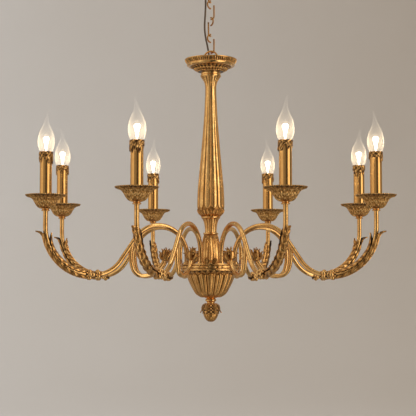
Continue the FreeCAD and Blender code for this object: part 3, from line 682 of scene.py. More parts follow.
def make_bell(look):
    """Lower column: tulip of tall leaves, ring, faceted waist and flare."""
    panels = leaves(look.bell_leaves, 1.5, phase=0.5, fullness=1.0, veins=0.0, widest=0.3, ground=0.5)
    tips = leaves(look.bell_leaves, 1.2, phase=0.0, fullness=0.5, veins=1.0, widest=0.3, ground=0.5)
    facets = reeds(12, [(0, 0.9), (1, 1.5)], 0.02, 0.02, round_ends=False)
    form = turned(
        Form(),
        [(9, 0), (23, 0), [(24, 1.6), (23, 3.4)], (20.8, 4.2),
         [(21.2, 6), (19.6, 28), (16.6, 50), (13.6, 62)],
         (14.6, 62.6), [(16.2, 64.5), (16.2, 66), (14.8, 67.6)], (13.2, 68.2),
         [(12.8, 72), (13.4, 80), (15.4, 90), (18.2, 97)],
         (19.0, 97.4), [(20.6, 99), (20.6, 101), (19.4, 102.6)], (9, 103), (9, 0)],
        256, [(3, 3, layered(panels, tips)), (7, 7, facets)], spacing=0.9,
    )  # fmt: skip
    show("column_bell_leaved", form.mesh("bell"), "aged_brass", ["column_bell"])


def make_capital():
    """Capital under the dish: a grooved bell that opens to two rings."""
    z = CAPITAL_BASE
    grooves = reeds(12, [(0, 0.4), (1, 1.6)], 0.02, 0.1, round_ends=False)
    form = turned(
        Form(),
        lifted(z, [(9, 0), (12.5, 0), [(12.8, 4), (14.6, 11), (18.6, 18), (21.4, 22)],
         [(22.6, 24), (22.2, 26.4)], (20.6, 27),
         [(21.6, 29), (21.4, 31.4)], (19.4, 32), (19.4, 34), (9, 34), (9, 0)]),
        192, [(1, 1, grooves)], spacing=0.8,
    )  # fmt: skip
    show("capital_grooved", form.mesh("capital"), "aged_brass", ["column_collar"])


def make_dish(look):
    """Open dish: fluted rim band, a smooth torus under it, a beaded hollow and a small lip."""
    z, up = DISH_BASE, (high("top_dish") - low("top_dish")) / MM / 24
    band = flutes(look.rim_flutes, 2.0)
    pearls = beads(look.bead_count, 2.6, ground=1.0)
    small = leaves(look.bead_count, 1.3, veins=1.0, widest=0.5, ground=0.8)
    form = turned(
        Form(),
        lifted(z, [(12, 0), (27, 0), [(28.4, 0.8), (28.6, 2.4)], (29.4, 3),
         [(33.5, 4.6), (38, 7)],
         (39, 7.2), [(41, 8.2), (44, 9.4)],
         (45, 9.2), [(49.5, 9.8), (52.2, 12), (51.6, 14.4)], (51.4, 15),
         [(53, 16), (55.6, 19.5), (56.6, 22.6)], [(56.4, 23.7), (55, 24)],
         (54, 23), (51, 16.5), (44, 11.5), (32, 5.5)], up)
        + [(26, z + 2), (12, z + 2), (12, z)],
        384, [(1, 1, beads(look.bead_count, 1.2)), (3, 3, pearls), (5, 5, small), (9, 9, band)], spacing=0.6,
    )  # fmt: skip
    show("top_dish_moulded", form.mesh("dish"), "aged_brass", ["top_dish"])


def make_hub():
    """Shallow drum with a moulded, leafy side, open below."""
    eggs = layered(leaves(24, 2.6, widest=0.5, veins=2.0, ground=0.9), beads(24, 2.2, 0.5))
    rise = leaves(24, 1.0, widest=0.4, veins=2.0, ground=0.7)
    form = turned(
        Form(),
        [(5.4, -4), (62.8, -4), (62.8, -14), (64.4, -14), [(65, -12.4), (64.2, -11)], (62.6, -10.4),
         [(62.2, -7), (62.8, -3.4)], (64, -3), [(65, -1.6), (64.2, -0.2)], (60, 0.4),
         [(50, 0.6), (36, 0.4)], (30, 1.2), [(28, 1.6), (26, 1.2)], (5.4, 0), (5.4, -4)],
        384, [(5, 5, eggs), (9, 9, rise)], spacing=0.6,
    )  # fmt: skip
    crown = smooth_line([(60.5, -2), (63.6, 2.5), (64.0, 8.0), (68.5, 11.5)], 0.6)
    for index in range(ARM_COUNT * 3):
        if index % 3:
            petal(form, crown, 0, 6.2, 1.3, TURN * (index + FIRST_ARM_DEG / 15) / (ARM_COUNT * 3))
    show("hub_moulded", form.mesh("hub"), "aged_brass", ["arm_hub"])


def make_bowl(look):
    """Bowl of long leaf-shaped ribs under a moulded flange."""
    z = BOWL_BASE
    folds = reeds(look.gadroons, [(0, 0.6), (0.3, 2.4), (0.8, 3.2), (1, 2.6)], 0.02, 0.12, phase=0.5)

    def ribs(angle, share):
        height, shade = folds(angle, share)
        line = 0.5 + 0.5 * np.cos(angle * look.gadroons * 3 + 0.8 * np.sin(share * TURN))
        line = line * ends(share, 0.05, 0.15)
        # The grooves and the gaps between the fine lines get painted shade, with patina.
        return height + 0.8 * line, np.clip(shade * 0.5 + 0.3 * (1 - line), 0, 1)

    lip = leaves(look.gadroons * 2, 1.4, widest=0.5, veins=1.0)
    form = turned(
        Form(),
        lifted(z, [(5.4, 0), (9, 0), [(12, 0.3), (14, 1.8)], (15, 2),
         [(21.5, 3), (30.5, 8.5), (36, 15.5), (43.2, 29), (49.4, 43), (53, 53)],
         (55, 53.6), [(60, 54.6), (63.6, 57)], (64, 59), (61, 59),
         [(52, 55.5), (46, 44), (39, 30), (31, 16), (18, 6)], (5.4, 2), (5.4, 0)]),
        384, [(3, 3, ribs), (5, 5, lip)], spacing=0.9,
    )  # fmt: skip
    show("bowl_gadrooned", form.mesh("bowl"), "aged_brass", ["bowl"])


def make_finial():
    """Neck, cross-hatched cup, flared petals and a smooth nose."""
    top, tip = BOWL_BASE, FINIAL_TIP

    def hatch(angle, share):
        rows = share * 6.0
        one = np.abs(np.mod(angle * 14 / TURN + rows * 0.5, 1.0) * 2 - 1)
        two = np.abs(np.mod(angle * 14 / TURN - rows * 0.5, 1.0) * 2 - 1)
        scale = np.minimum(one, two)
        # The cuts between the scales get painted shade, with patina.
        return 1.8 * scale**0.7, np.clip(1.15 - scale * 1.9, 0, 1)

    def scales(angle, share):
        height, shade = hatch(angle, share * 0.8)
        return height * 0.35, shade * 0.5

    form = turned(
        Form(),
        lifted(tip, [(0, 0), [(5.5, 0.9), (10.6, 5), (14.4, 11.5), (15.8, 17)],
         (16.4, 17.6), [(17.2, 24), (16.2, 31), (13.2, 37)],
         (9.4, 39), [(8.6, 41), (9.6, 43)], (11.4, 44), [(12, 46), (11, 48)]])
        + [(9, top), (0, top)],
        192, [(0, 0, scales), (2, 2, hatch)], spacing=0.5,
    )  # fmt: skip
    petal_line = smooth_line([(10, -11), (16.5, -15), (18.6, -20), (19.0, -26), (22.2, -31.5)], 0.7)
    for index in range(6):
        petal(form, petal_line, top, 4.8, 1.6, TURN * index / 6, pointed=0.45)
    show("finial_pine_cone", form.mesh("finial"), "aged_brass", ["finial"])


PETAL_COLUMNS = 13


def petal(form, line, top, half_width, thickness, turn, pointed=0.75):
    """A pointed, ribbed petal that follows a line (radius, height), turned about Z."""
    share = np.linspace(0, 1, len(line))[:, None]
    side = np.linspace(-1, 1, PETAL_COLUMNS)[None, :]
    half = half_width * np.clip(np.sin(math.pi * (0.18 + 0.82 * share) ** 1.2), 0.04, 1) ** pointed
    ahead = np.gradient(line, axis=0)
    ahead /= np.linalg.norm(ahead, axis=1)[:, None]
    out = np.column_stack([-ahead[:, 1], ahead[:, 0]])
    crown = 0.9 * np.exp(-((side / 0.18) ** 2)) + 0.5 * np.cos(side * 4.5) * share
    rings = []
    for lift, order in ((thickness / 2, 1), (-thickness / 2, -1)):
        height = crown * (1 if order == 1 else 0.2) * 0.7 + lift * np.sqrt(1 - 0.9 * side**2)
        radius = line[:, :1] + out[:, :1] * height - (side * half) ** 2 * 0.03
        level = line[:, 1:] + out[:, 1:] * height + top
        width = side * half
        rings.append(np.stack([radius + 0 * width, width, level + 0 * width], axis=-1)[:, ::order])
    ring = np.concatenate(rings, axis=1)
    # Away from its rib the petal gets painted shade, with patina.
    shade = np.clip(0.7 - 0.9 * np.concatenate([crown, crown[:, ::-1]], axis=1), 0, 1) * 0.55
    x = ring[..., 0] * math.cos(turn) - ring[..., 1] * math.sin(turn)
    y = ring[..., 0] * math.sin(turn) + ring[..., 1] * math.cos(turn)
    form.grid(np.stack([x, y, ring[..., 2]], axis=-1) * MM, shade, caps=True)


def make_canopy(look):
    """Stepped ceiling cup with a fluted rim and a beaded step."""
    z, top = CANOPY_BASE, CANOPY_TOP
    band = flutes(look.rim_flutes, 0.9)
    pearls = beads(48, 1.2)
    form = turned(
        Form(),
        lifted(z, [(5.4, 0), (24, 0), [(26.5, 0.6), (31, 3.6), (36.4, 7)], [(42.5, 15), (46.4, 24)],
         (47.4, 24.6), [(49, 25.4), (51, 26.2)], (52, 26.4),
         [(55.4, 27.4), (57, 30), (56.4, 32.4)], (56, 33), (56.6, 41.4),
         [(57, 42.6), (56.6, 44.5)]])
        + [(54, top)]
        + lifted(z, [(54, 30), (46, 27), (40, 15),
         (28, 3.4), (5.4, 1.6), (5.4, 0)]),
        384, [(4, 4, pearls), (8, 8, band)], spacing=0.6,
    )  # fmt: skip
    show("ceiling_canopy_moulded", form.mesh("canopy"), "aged_brass", ["ceiling_canopy"],
         "ceiling_mount")  # fmt: skip


# ---- candles ----
def make_pans(look):
    """Drip pans with leaves outside, a thin scalloped rim and a shallow fluted inside."""
    z = PAN_BASE
    tall = leaves(look.pan_leaves, 2.6, phase=0.5, fullness=0.95, veins=5.0, widest=0.5, ground=0.8)
    short = leaves(look.pan_leaves, 1.9, phase=0.0, fullness=0.85, veins=3.0, widest=0.35, ground=0.8)
    scallop = beads(look.pan_scallops, 0.9)
    inner = leaves(look.pan_leaves, 0.5, veins=3.0, widest=0.5, ground=0.7)
    form = turned(
        Form(),
        lifted(z, [(TUBE_R + 0.2, 0), (7.4, 0), (7.4, 0.8),
                   [(10.5, 1.2), (15.4, 3.6), (19.4, 8.4), (22.8, 14.4),
                                    (26.4, 19.4), (31.6, 23.2), (39.6, 25.4)],
         [(41, 25.6), (41.2, 26.4), (40.6, 27)], (38.4, 26.8),
         [(32.0, 25.0), (25.6, 21.4), (21.2, 15.6), (17.8, 9.2), (14.6, 4.6), (13, 2.4)],
         (TUBE_R + 0.2, 2), (TUBE_R + 0.2, 0)]),
        312, [(2, 2, layered(tall, short)), (3, 3, scallop), (5, 5, inner)], spacing=0.7,
    )  # fmt: skip
    show_on_arms("drip_pan", form.mesh("drip_pan"), "dark_cast_brass", ["drip_pans"],
                 CANDLE_R)  # fmt: skip


def make_pan_collars():
    """Double ring under each pan."""
    z = PAN_BASE - 7
    form = turned(
        Form(),
        lifted(z, [(TUBE_R + 0.1, 0), (6.6, 0), [(8.4, 0.9), (8.6, 2.2), (7.2, 3.3)], (6.6, 3.6),
         [(7.6, 4.4), (7.8, 5.6), (6.8, 6.6)], (6.6, 7), (TUBE_R + 0.1, 7), (TUBE_R + 0.1, 0)]),
        64, spacing=0.35,
    )  # fmt: skip
    show_on_arms("pan_collar", form.mesh("pan_collar"), "aged_brass", ["pan_collars"],
                 CANDLE_R)  # fmt: skip


WAX_SEED = 5
WAX_COLUMNS, WAX_ROWS = 144, 44
WAX_RUNS = 9  # on each candle
WAX_WAVES = ((7, 6), (11, -9), (17, 14), (5, 17))  # waves round the collar and slant down it


def make_wax_collars():
    """Cast wax runs round each candle's top, of uneven length."""
    chance = np.random.default_rng(WAX_SEED)
    angle = TURN * np.arange(WAX_COLUMNS)[None, :] / WAX_COLUMNS
    share = np.linspace(0, 1, WAX_ROWS)[:, None]
    for index in range(ARM_COUNT):
        length = 11.5 + 1.2 * np.sin(3 * angle + index) + 0 * angle
        for _ in range(WAX_RUNS):
            middle, width, extra = chance.uniform(0, TURN), chance.uniform(0.14, 0.3), chance.uniform(4, 15)
            off = np.mod(angle - middle + math.pi, TURN) - math.pi
            length = np.maximum(length, 12 + extra * np.clip(1 - (off / width) ** 2, 0, 1) ** 0.5)
        waves = sum(
            np.sin(angle * m + share * n + chance.uniform(0, TURN)) for m, n in WAX_WAVES
        )
        thick = 1.5 + 0.22 * waves + 0.5 * share * np.clip((length - 13) / 8, 0, 1)
        thick = thick * np.sqrt(np.clip(1 - np.clip((share - 0.9) / 0.1, 0, 1) ** 2, 0.0, 1))
        thick = thick * np.sqrt(np.clip(np.clip(share / 0.06, 0, 1), 0.05, 1))
        z = SLEEVE_TOP + 1 - share * length
        outer = SLEEVE_R + 0.15 + np.maximum(thick, 0.05)
        inner = SLEEVE_R + 0.06 + 0 * thick
        radius = np.vstack([outer, inner[::-1]])
        level = np.vstack([z, z[::-1]])
        points = np.stack([radius * np.cos(angle), radius * np.sin(angle), level + 0 * radius], axis=-1)
        # The troughs of the wax waves get painted shade, with patina; the inner side gets none.
        trough_shade = np.clip(0.3 - 0.32 * waves, 0, 1)
        form = Form().grid(points[::-1] * MM, np.vstack([trough_shade, 0 * trough_shade])[::-1], close_rows=True)
        show(f"wax_collar_{index + 1}", form.mesh("wax_collar"), "dark_cast_brass",
             ["wax_collars"], matrix=arm_matrix(index, CANDLE_R))  # fmt: skip


GLASS_OUTLINE = [  # from its seat to its tip: radius and height above the sleeve, in mm
    (8.2, -2), (11.2, 0.6), (14.2, 5), (16.6, 12.5), (17.4, 21), (16.4, 32), (13.4, 42), (9.4, 50.5),
    (5.9, 58), (3.9, 65), (2.5, 72), (1.7, 78), (1.5, 82), (1.1, 84.4), (0.02, 85),
]  # fmt: skip
GLASS_COLUMNS = 40
LEAN_FROM = 50  # height at which the glass starts to lean
LEAN_RISE = 35
LEAN = 8.0  # how far the tip ends up to one side
HAZE_HEIGHT, HAZE_SPREAD = 16, 20


def glass_mesh():
    """The bulb's clear body, drawn out to a tip that leans over."""
    line = smooth_line(GLASS_OUTLINE, 1.2)
    angle = TURN * np.arange(GLASS_COLUMNS)[None, :] / GLASS_COLUMNS
    height = line[:, 1:] + 0 * angle
    lean = LEAN * np.clip((height - LEAN_FROM) / LEAN_RISE, 0, 1) ** 1.7
    points = np.stack([line[:, :1] * np.cos(angle) + lean, line[:, :1] * np.sin(angle), height], axis=-1)
    haze = np.exp(-(((height - HAZE_HEIGHT) / HAZE_SPREAD) ** 2))
    return Form().grid(points * MM, haze, caps=True).mesh("bulb_glass", attribute="haze")


CAP_COLUMNS = 48
THREAD_FOOT, THREAD_TOP = -24, -4.4  # heights from the sleeve's top, in mm
THREAD_R = 6.25
THREAD_DEPTH = 0.5
THREAD_PITCH = 2.8


def cap_mesh():
    """Screw cap: a bead at the glass, a round thread and the contact button."""
    form = Form()
    angle = TURN * np.arange(CAP_COLUMNS)[None, :] / CAP_COLUMNS
    height = np.linspace(THREAD_FOOT, THREAD_TOP, 60)[:, None]
    phase = height / THREAD_PITCH - angle / TURN
    start = np.clip((height - THREAD_FOOT) / 2.0, 0, 1)
    end = np.clip((THREAD_TOP - 1.0 - height) / 1.5, 0, 1)
    radius = THREAD_R + THREAD_DEPTH * np.sin(TURN * phase) * start * end
    points = np.stack([radius * np.cos(angle), radius * np.sin(angle), height + 0 * angle], axis=-1)
    form.grid(points * MM, caps=True)
    button = [(0, -26.3), (3, -26.3), [(5, -25.6), (6.2, -24)], (0, -24)]
    bead = [(0, -4.6), (6.8, -4.6), [(8, -4), (8.2, -2.4), (7.8, -1.8)], (0, -1.8)]
    turned(form, button, CAP_COLUMNS, spacing=0.6)
    turned(form, bead, CAP_COLUMNS, spacing=0.5)
    return form.mesh("bulb_cap")


def filament_mesh():
    """Four leaning filament rods that meet at a crown."""
    form = Form()
    for index in range(4):
        a = TURN * (index + 0.5) / 4
        line = [(1.4, 7.0), (2.6, 17.0), (5.6, 28.0)]
        path = [(r * math.cos(a), r * math.sin(a), h) for r, h in line]
        tube(form, smooth_line(path, 1.0), 0.6, 8)
        arch = [(r * math.cos(a), r * math.sin(a), h) for r, h in [(5.6, 28), (3, 31), (0, 30)]]
        tube(form, smooth_line(arch, 0.8), 0.45, 8)
    return form.mesh("bulb_filament")


def stem_mesh():
    """The glass mount inside the bulb, with its two lead wires."""
    form = Form()
    tube(form, [(0, 0, -1.5), (0, 0, 3), (0, 0, 6), (0, 0, 12), (0, 0, 20)], [5.5, 3.4, 2.4, 1.6, 0.9], 16)
    for side in (-1, 1):
        tube(form, smooth_line([(side * 1.2, 0, 5), (side * 2.4, 0, 10), (side * 2.0, 0, 29)], 2.0), 0.25, 6)
    return form.mesh("bulb_stem")


def glow_mesh(outline):
    """A soft flame-shaped body of light."""
    return turned(Form(), [outline[0], outline[1:]], 32, spacing=1.2).mesh("bulb_glow")


BULB_TURN_DEG = 137.5  # from one bulb's lean to the next one's, so that no two lean alike
LAMP_R = 0.008
LAMP_HEIGHT = 0.022  # above the sleeve
CORE_OUTLINE = [(0, 1.5), (1.2, 4), (1.2, 10), (2.8, 18), (4.4, 24), (3.4, 29), (1.5, 31), (0, 31.6)]
GLOW_OUTLINE = [(0, 1.2), (2.6, 3), (3.8, 10), (7.4, 19), (9.0, 27), (6.6, 34), (2.5, 38), (0, 38.8)]


def make_bulbs(look):
    parts = [
        ("bulb_glass", glass_mesh(), "bulb_glass"),
        ("bulb_cap", cap_mesh(), "cap_metal"),
        ("bulb_stem", stem_mesh(), "stem_glass_glow"),
        ("bulb_filament", filament_mesh(), "filament"),
        ("bulb_core", glow_mesh(CORE_OUTLINE), "glow_core"),
        ("bulb_glow", glow_mesh(GLOW_OUTLINE), "glow_soft"),
    ]
    for index in range(ARM_COUNT):
        lean_way = Matrix.Rotation(math.radians(BULB_TURN_DEG * index), 4, "Z")
        place = arm_matrix(index, CANDLE_R, SLEEVE_TOP) @ lean_way
        body = f"bulb_body_{index + 1}"
        for name, mesh, material in parts:
            piece = show(f"{name}_{index + 1}", mesh, material, [f"bulb_{index + 1}"],
                         body, place)  # fmt: skip
            piece.visible_shadow = name in ("bulb_cap", "bulb_stem")
        lamp = bpy.data.lights.new(f"bulb_lamp_{index + 1}", "POINT")
        lamp.energy, lamp.color, lamp.shadow_soft_size = look.lamp_power, look.glow_colour, LAMP_R
        holder = bpy.data.objects.new(lamp.name, lamp)
        bpy.context.scene.collection.objects.link(holder)
        holder.matrix_world = place @ Matrix.Translation((0, 0, LAMP_HEIGHT))
        holder.visible_glossy = False
        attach(holder, body)


# ---- ornaments on the arms ----
LEAF_START_DEG = 6.0  # where the leaves spring from, round the bend from its bottom
LEAF_STATIONS = 60
TIP_STATIONS = 40
LEAF_COLUMNS = 25
LEAF_LIFT = 1.6  # from the tube's skin to the leaf's middle, in mm


def bend_point(degrees):
    """A point on the arm's outer bend, by its angle from the bottom."""
    a = math.radians(degrees)
    centre = (CANDLE_R - OUTER_BEND_R, OUTER_BEND_R - ARM_DIP)
    return (centre[0] + OUTER_BEND_R * math.sin(a), centre[1] - OUTER_BEND_R * math.cos(a))


def leaf_line(leaves_deg, tip_r, tip_deg, side):
    """Stations along a leaf in the arm's plane: x, z and the heading in degrees. The leaf follows the tube
    as far as leaves_deg, and its tip then curls off on a radius of its own."""
    stations = []
    for degrees in np.linspace(LEAF_START_DEG, leaves_deg, LEAF_STATIONS):
        stations.append((*bend_point(degrees), degrees))
    x, z, heading = stations[-1]
    for _ in range(TIP_STATIONS):
        step = math.radians(tip_deg / TIP_STATIONS)
        a = math.radians(heading)
        length = tip_r * step
        x, z = x + length * math.cos(a), z + length * math.sin(a)
        heading += side * tip_deg / TIP_STATIONS
        stations.append((x, z, heading))
    return np.array(stations)


def make_leaf(name, line, side, look, replaced):
    """A toothed, ribbed leaf that wraps one side of the tube and curls off at its tip. side is 1 inside."""
    half_width, lobes = look.leaf_half_width / MM, look.leaf_lobes
    steps = np.hypot(np.diff(line[:, 0]), np.diff(line[:, 1]))
    share = np.concatenate([[0], np.cumsum(steps)]) / steps.sum()
    share = share[:, None]
    across = np.linspace(-1, 1, LEAF_COLUMNS)[None, :]
    outline = np.interp(
        share, [0, 0.08, 0.3, 0.6, 0.82, 0.93, 1.0], [0.5, 0.72, 1.0, 0.95, 0.85, 0.5, 0.06]
    )
    tooth = 1 - 0.22 * np.mod(share * lobes, 1.0) ** 1.5
    half = half_width * outline * tooth
    curls = [TUBE_R + LEAF_LIFT, TUBE_R + 2.6, TUBE_R + 4.0, TUBE_R + 3.0, 13.0]
    curl_r = np.interp(share, [0, 0.1, 0.3, 0.7, 1.0], curls)
    a = across * half / curl_r
    rib = np.exp(-((across / 0.12) ** 2))
    vein = 0.5 + 0.5 * np.cos(TURN * (share * lobes - np.abs(across) * 0.7))
    ridge = 0.5 + 0.5 * np.cos(across * math.pi * 3.4)
    raised = 1.7 * rib + 1.5 * vein * (np.abs(across) > 0.12) + 0.5 * ridge
    heading = np.radians(line[:, 2:])
    up = np.concatenate([-side * np.sin(heading), side * np.cos(heading)], axis=1)
    rings = []
    for layer in (1, 0):
        radius = curl_r + layer * (0.5 + raised) * (1 - 0.75 * np.abs(across) ** 6) + 0.15 * layer
        lift = TUBE_R + LEAF_LIFT - curl_r + radius * np.cos(a)
        width = radius * np.sin(a)
        x, z = line[:, :1] + up[:, :1] * lift, line[:, 1:2] + up[:, 1:] * lift
        ring = np.stack([x, width, z], axis=-1)
        rings.append(ring if layer else ring[:, ::-1])
    # Low parts of the leaf get painted shade, with patina, and its underside, against the tube, a painted
    # shadow.
    shade = np.clip(1.0 - raised * 0.55, 0, 1) * 0.7
    shade = np.concatenate([shade, np.full_like(shade, 0.85)], axis=1)
    form = Form().grid(np.concatenate(rings, axis=1) * MM, shade, caps=True)
    show_on_arms(name, form.mesh(name), "aged_brass", [replaced])


def along_tube(degrees):
    """Maps points drawn round the X axis to the tube's outer bend, at an angle from its bottom."""
    x0, z0 = bend_point(degrees)
    a = math.radians(degrees)

    def place(points):
        x = x0 + points[..., 0] * math.cos(a) - points[..., 2] * math.sin(a)
        z = z0 + points[..., 0] * math.sin(a) + points[..., 2] * math.cos(a)
        return np.stack([x, points[..., 1], z], axis=-1)

    return place


def make_knobs(look):
    """A ring of berries between two small collars."""
    x = np.linspace(-8, 8, 60)
    core = 6.0 + 1.4 * np.exp(-(((np.abs(x) - 6.6) / 1.0) ** 2))
    balls = [(-0.6, TURN * k / look.berries, 6.9, 5.1) for k in range(look.berries)]
    balls += [(5.4, TURN * (k + 0.5) / look.berries, 6.0, 2.6) for k in range(look.berries)]
    balls += [(-5.8, TURN * (k + 0.5) / look.berries, 5.6, 2.2) for k in range(look.berries)]
    form = studded(Form(), x, 120, core, balls, along_tube(3.0))
    show_on_arms("berry_knob", form.mesh("berry_knob"), "aged_brass", ["arm_knobs"])


def make_bead_rings():
    """A beaded ring between two plain ones."""
    x = np.linspace(-7.5, 7.5, 60)
    core = 6.0 + 1.3 * np.exp(-(((np.abs(x) - 6.2) / 1.0) ** 2))
    balls = [(0.4, TURN * (k + 0.5) / 6, 6.4, 4.6) for k in range(6)]
    balls += [(side * 5.2, TURN * k / 6, 6.2, 2.6) for k in range(6) for side in (-1, 1)]

    def place(points):
        return points + np.array([CANDLE_R - OUTER_BEND_R - 14.0, 0, -ARM_DIP])

    form = studded(Form(), x, 108, core, balls, place)
    show_on_arms("bead_ring", form.mesh("bead_ring"), "aged_brass", ["bead_rings"])


def make_flowers():
    """A double flower with a budded middle at the end of each scroll."""
    form = Form()
    outer = smooth_line([(2.5, -8.0), (8.5, -7.5), (13.4, -2.0), (14.4, 4.0), (18.4, 5.6)], 0.8)
    middle = smooth_line([(1.5, -2.0), (6.4, 0.5), (10.4, 5.5), (11.0, 11.5), (14.8, 14.4)], 0.8)
    inner = smooth_line([(0.8, 2.0), (3.0, 6.0), (5.0, 11.5), (5.2, 16.0), (8.0, 19.5)], 0.8)
    for index in range(5):
        petal(form, outer, 0, 5.6, 1.7, TURN * index / 5, pointed=0.5)
        petal(form, middle, 0, 4.2, 1.5, TURN * (index + 0.5) / 5, pointed=0.5)
        petal(form, inner, 0, 2.2, 1.2, TURN * (index + 0.25) / 5, pointed=0.5)
    x = np.linspace(-7, 11, 44)
    core = 3.6 * np.sqrt(np.clip(1 - ((x - 2) / 9.2) ** 2, 0.01, 1))
    balls = [(9.0, TURN * k / 3, 1.8, 2.8) for k in range(3)]
    balls += [(2.0, TURN * (k + 0.25) / 5, 7.6, 2.8) for k in range(5)]

    def upright(points):
        return np.stack([-points[..., 2], points[..., 1], points[..., 0]], axis=-1)

    studded(form, x, 48, core, balls, upright)
    mesh = form.mesh("scroll_flower")
    lean = Matrix.Rotation(math.radians(-FLOWER_LEAN_DEG), 4, "Y")
    for index in range(ARM_COUNT):
        show(f"scroll_flower_{index + 1}", mesh, "aged_brass", ["scroll_flowers"],
             matrix=arm_matrix(index, *FLOWER_AT) @ lean)  # fmt: skip


# ---- supply cord ----
CORD_ROUTE = [  # x, y and the height above the dish's floor, in metres
    (-0.0160, 0.0020, 0.2440),
    (-0.0160, 0.0020, 0.2240),
    (-0.0160, 0.0020, 0.2070),
    (-0.0130, 0.0016, 0.1860),
    (-0.0108, 0.0010, 0.1600),
    (-0.0116, 0.0010, 0.1280),
    (-0.0140, 0.0016, 0.0980),
    (-0.0116, 0.0032, 0.0750),
    (-0.0072, 0.0066, 0.0560),
    (-0.0038, 0.0110, 0.0380),
    (-0.0031, 0.0125, 0.0180),
    (-0.0031, 0.0125, -0.0020),
]


CUT_MARGIN = 1e-6  # keeps the cord's first and last points inside the end cuts


def cord_line():
    """Points read from the cord's smooth line, from the canopy down."""
    curve = bpy.data.curves.new("cord_route", "CURVE")
    curve.dimensions = "3D"
    spline = curve.splines.new("NURBS")
    spline.points.add(len(CORD_ROUTE) - 1)
    floor = HUB_TOP + DISH_FLOOR * MM
    for point, (x, y, z) in zip(spline.points, CORD_ROUTE):
        point.co = (x, y, z + floor, 1.0)
    spline.order_u = 3
    spline.use_endpoint_u = True
    spline.resolution_u = 16
    route = bpy.data.objects.new("cord_route", curve)
    read = bpy.data.meshes.new_from_object(route)
    points = [vertex.co.copy() for vertex in read.vertices]
    bpy.data.objects.remove(route)
    bpy.data.curves.remove(curve)
    bpy.data.meshes.remove(read)
    return sorted(points, key=lambda p: -p.z)


def make_cord(look):
    """The one cord, cut at the middle of each chain link into one length for each hinge."""
    line = cord_line()
    hinges = [joint for joint in frame["joints"] if joint["type"] == "hinge"]
    middles = [(low(f"chain_link_{k}") + high(f"chain_link_{k}")) / 2 for k in (4, 3, 2, 1)]
    cuts = [line[0].z + CUT_MARGIN] + middles + [line[-1].z - CUT_MARGIN]
    for index, joint in enumerate(hinges):
        top, bottom = cuts[index], cuts[index + 1]
        inside = [p for p in line if bottom < p.z < top]
        if index:
            inside.insert(0, between(line, top))
        if index < len(hinges) - 1:
            inside.append(between(line, bottom))
        form = Form()
        tube(form, [p / MM for p in inside], look.diameter / 2 / MM, 16, caps=False)
        mesh = form.mesh(f"cord_length_{index + 1}")
        mesh.materials.append(finish("brown_flex"))
        piece = bpy.data.objects.new(f"supply_cord_{index + 1}", mesh)
        bpy.context.scene.collection.objects.link(piece)
        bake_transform(piece)
        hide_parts("supply_cord")
        length = sum((b - a).length for a, b in zip(inside, inside[1:]))


def between(line, level):
    """The point of a falling line at a level."""
    for above, below in zip(line, line[1:]):
        if above.z >= level > below.z:
            return above.lerp(below, (above.z - level) / (above.z - below.z))
    raise ValueError(f"the cord doesn't pass {level}")


# ---- finishes of the nodes that stay as they are ----
KEPT_NODES = {
    "aged_brass": ["arm_tube", "scroll_branch", "arm_ferrules", "hanging_loop", "canopy_loop"],
    "polished_brass": ["candle_sleeves"],
    "chain_brass": ["chain_link"],
    "zinc_steel": [
        "ceiling_bracket", "bracket_nipple", "nipple_locknut", "centre_rod", "rod_nut", "arm_nuts",
    ],
    "black_plastic": ["lamp_holders", "cord_bush", "terminal_block"],
    "brown_flex": ["arm_wires"],
}


def make_finishes(look, bulb, cord):
    """Every material, and the metals of the CAD nodes that show."""
    brass("aged_brass", look.bright, look.body, look.tarnish, look.roughness, look.grime)
    dull = [0.95 * part for part in look.bright]
    darker = [0.75 * part for part in look.body]
    brass("dark_cast_brass", dull, darker, look.tarnish, look.roughness + 0.06, look.grime * 1.7, 0.7, 260.0)
    polished = (0.82, 0.46, 0.155)
    brass("polished_brass", polished, look.body, look.tarnish, look.roughness - 0.06, look.grime * 0.4, 0.08)
    brass("chain_brass", [0.8 * part for part in look.body], [0.6 * part for part in look.body], look.tarnish,
          look.roughness + 0.08, look.grime)  # fmt: skip
    plain_metal("zinc_steel", (0.55, 0.56, 0.57), 0.3)
    plain_metal("cap_metal", (0.72, 0.7, 0.66), 0.18)
    plastic("black_plastic", (0.02, 0.019, 0.018), 0.35)
    plastic("brown_flex", cord.jacket, 0.3)
    bulb_glass_material(bulb)
    glow_material("filament", (1.0, 0.9, 0.7), bulb.filament_strength, 1.0)
    glow_material("glow_core", (1.0, 0.9, 0.72), 9.0, 0.95)
    glow_material("glow_soft", (1.0, 0.82, 0.64), 1.0, 0.35)
    # The stem glass glows: painted light from the filaments.
    glow_material("stem_glass_glow", (1.0, 0.85, 0.65), 1.6, 0.4)
    for kind, starts in KEPT_NODES.items():
        for name, node in frame["nodes"].items():
            if any(name.startswith(start) or name.endswith(start) for start in starts):
                node.data.materials.clear()
                node.data.materials.append(finish(kind))


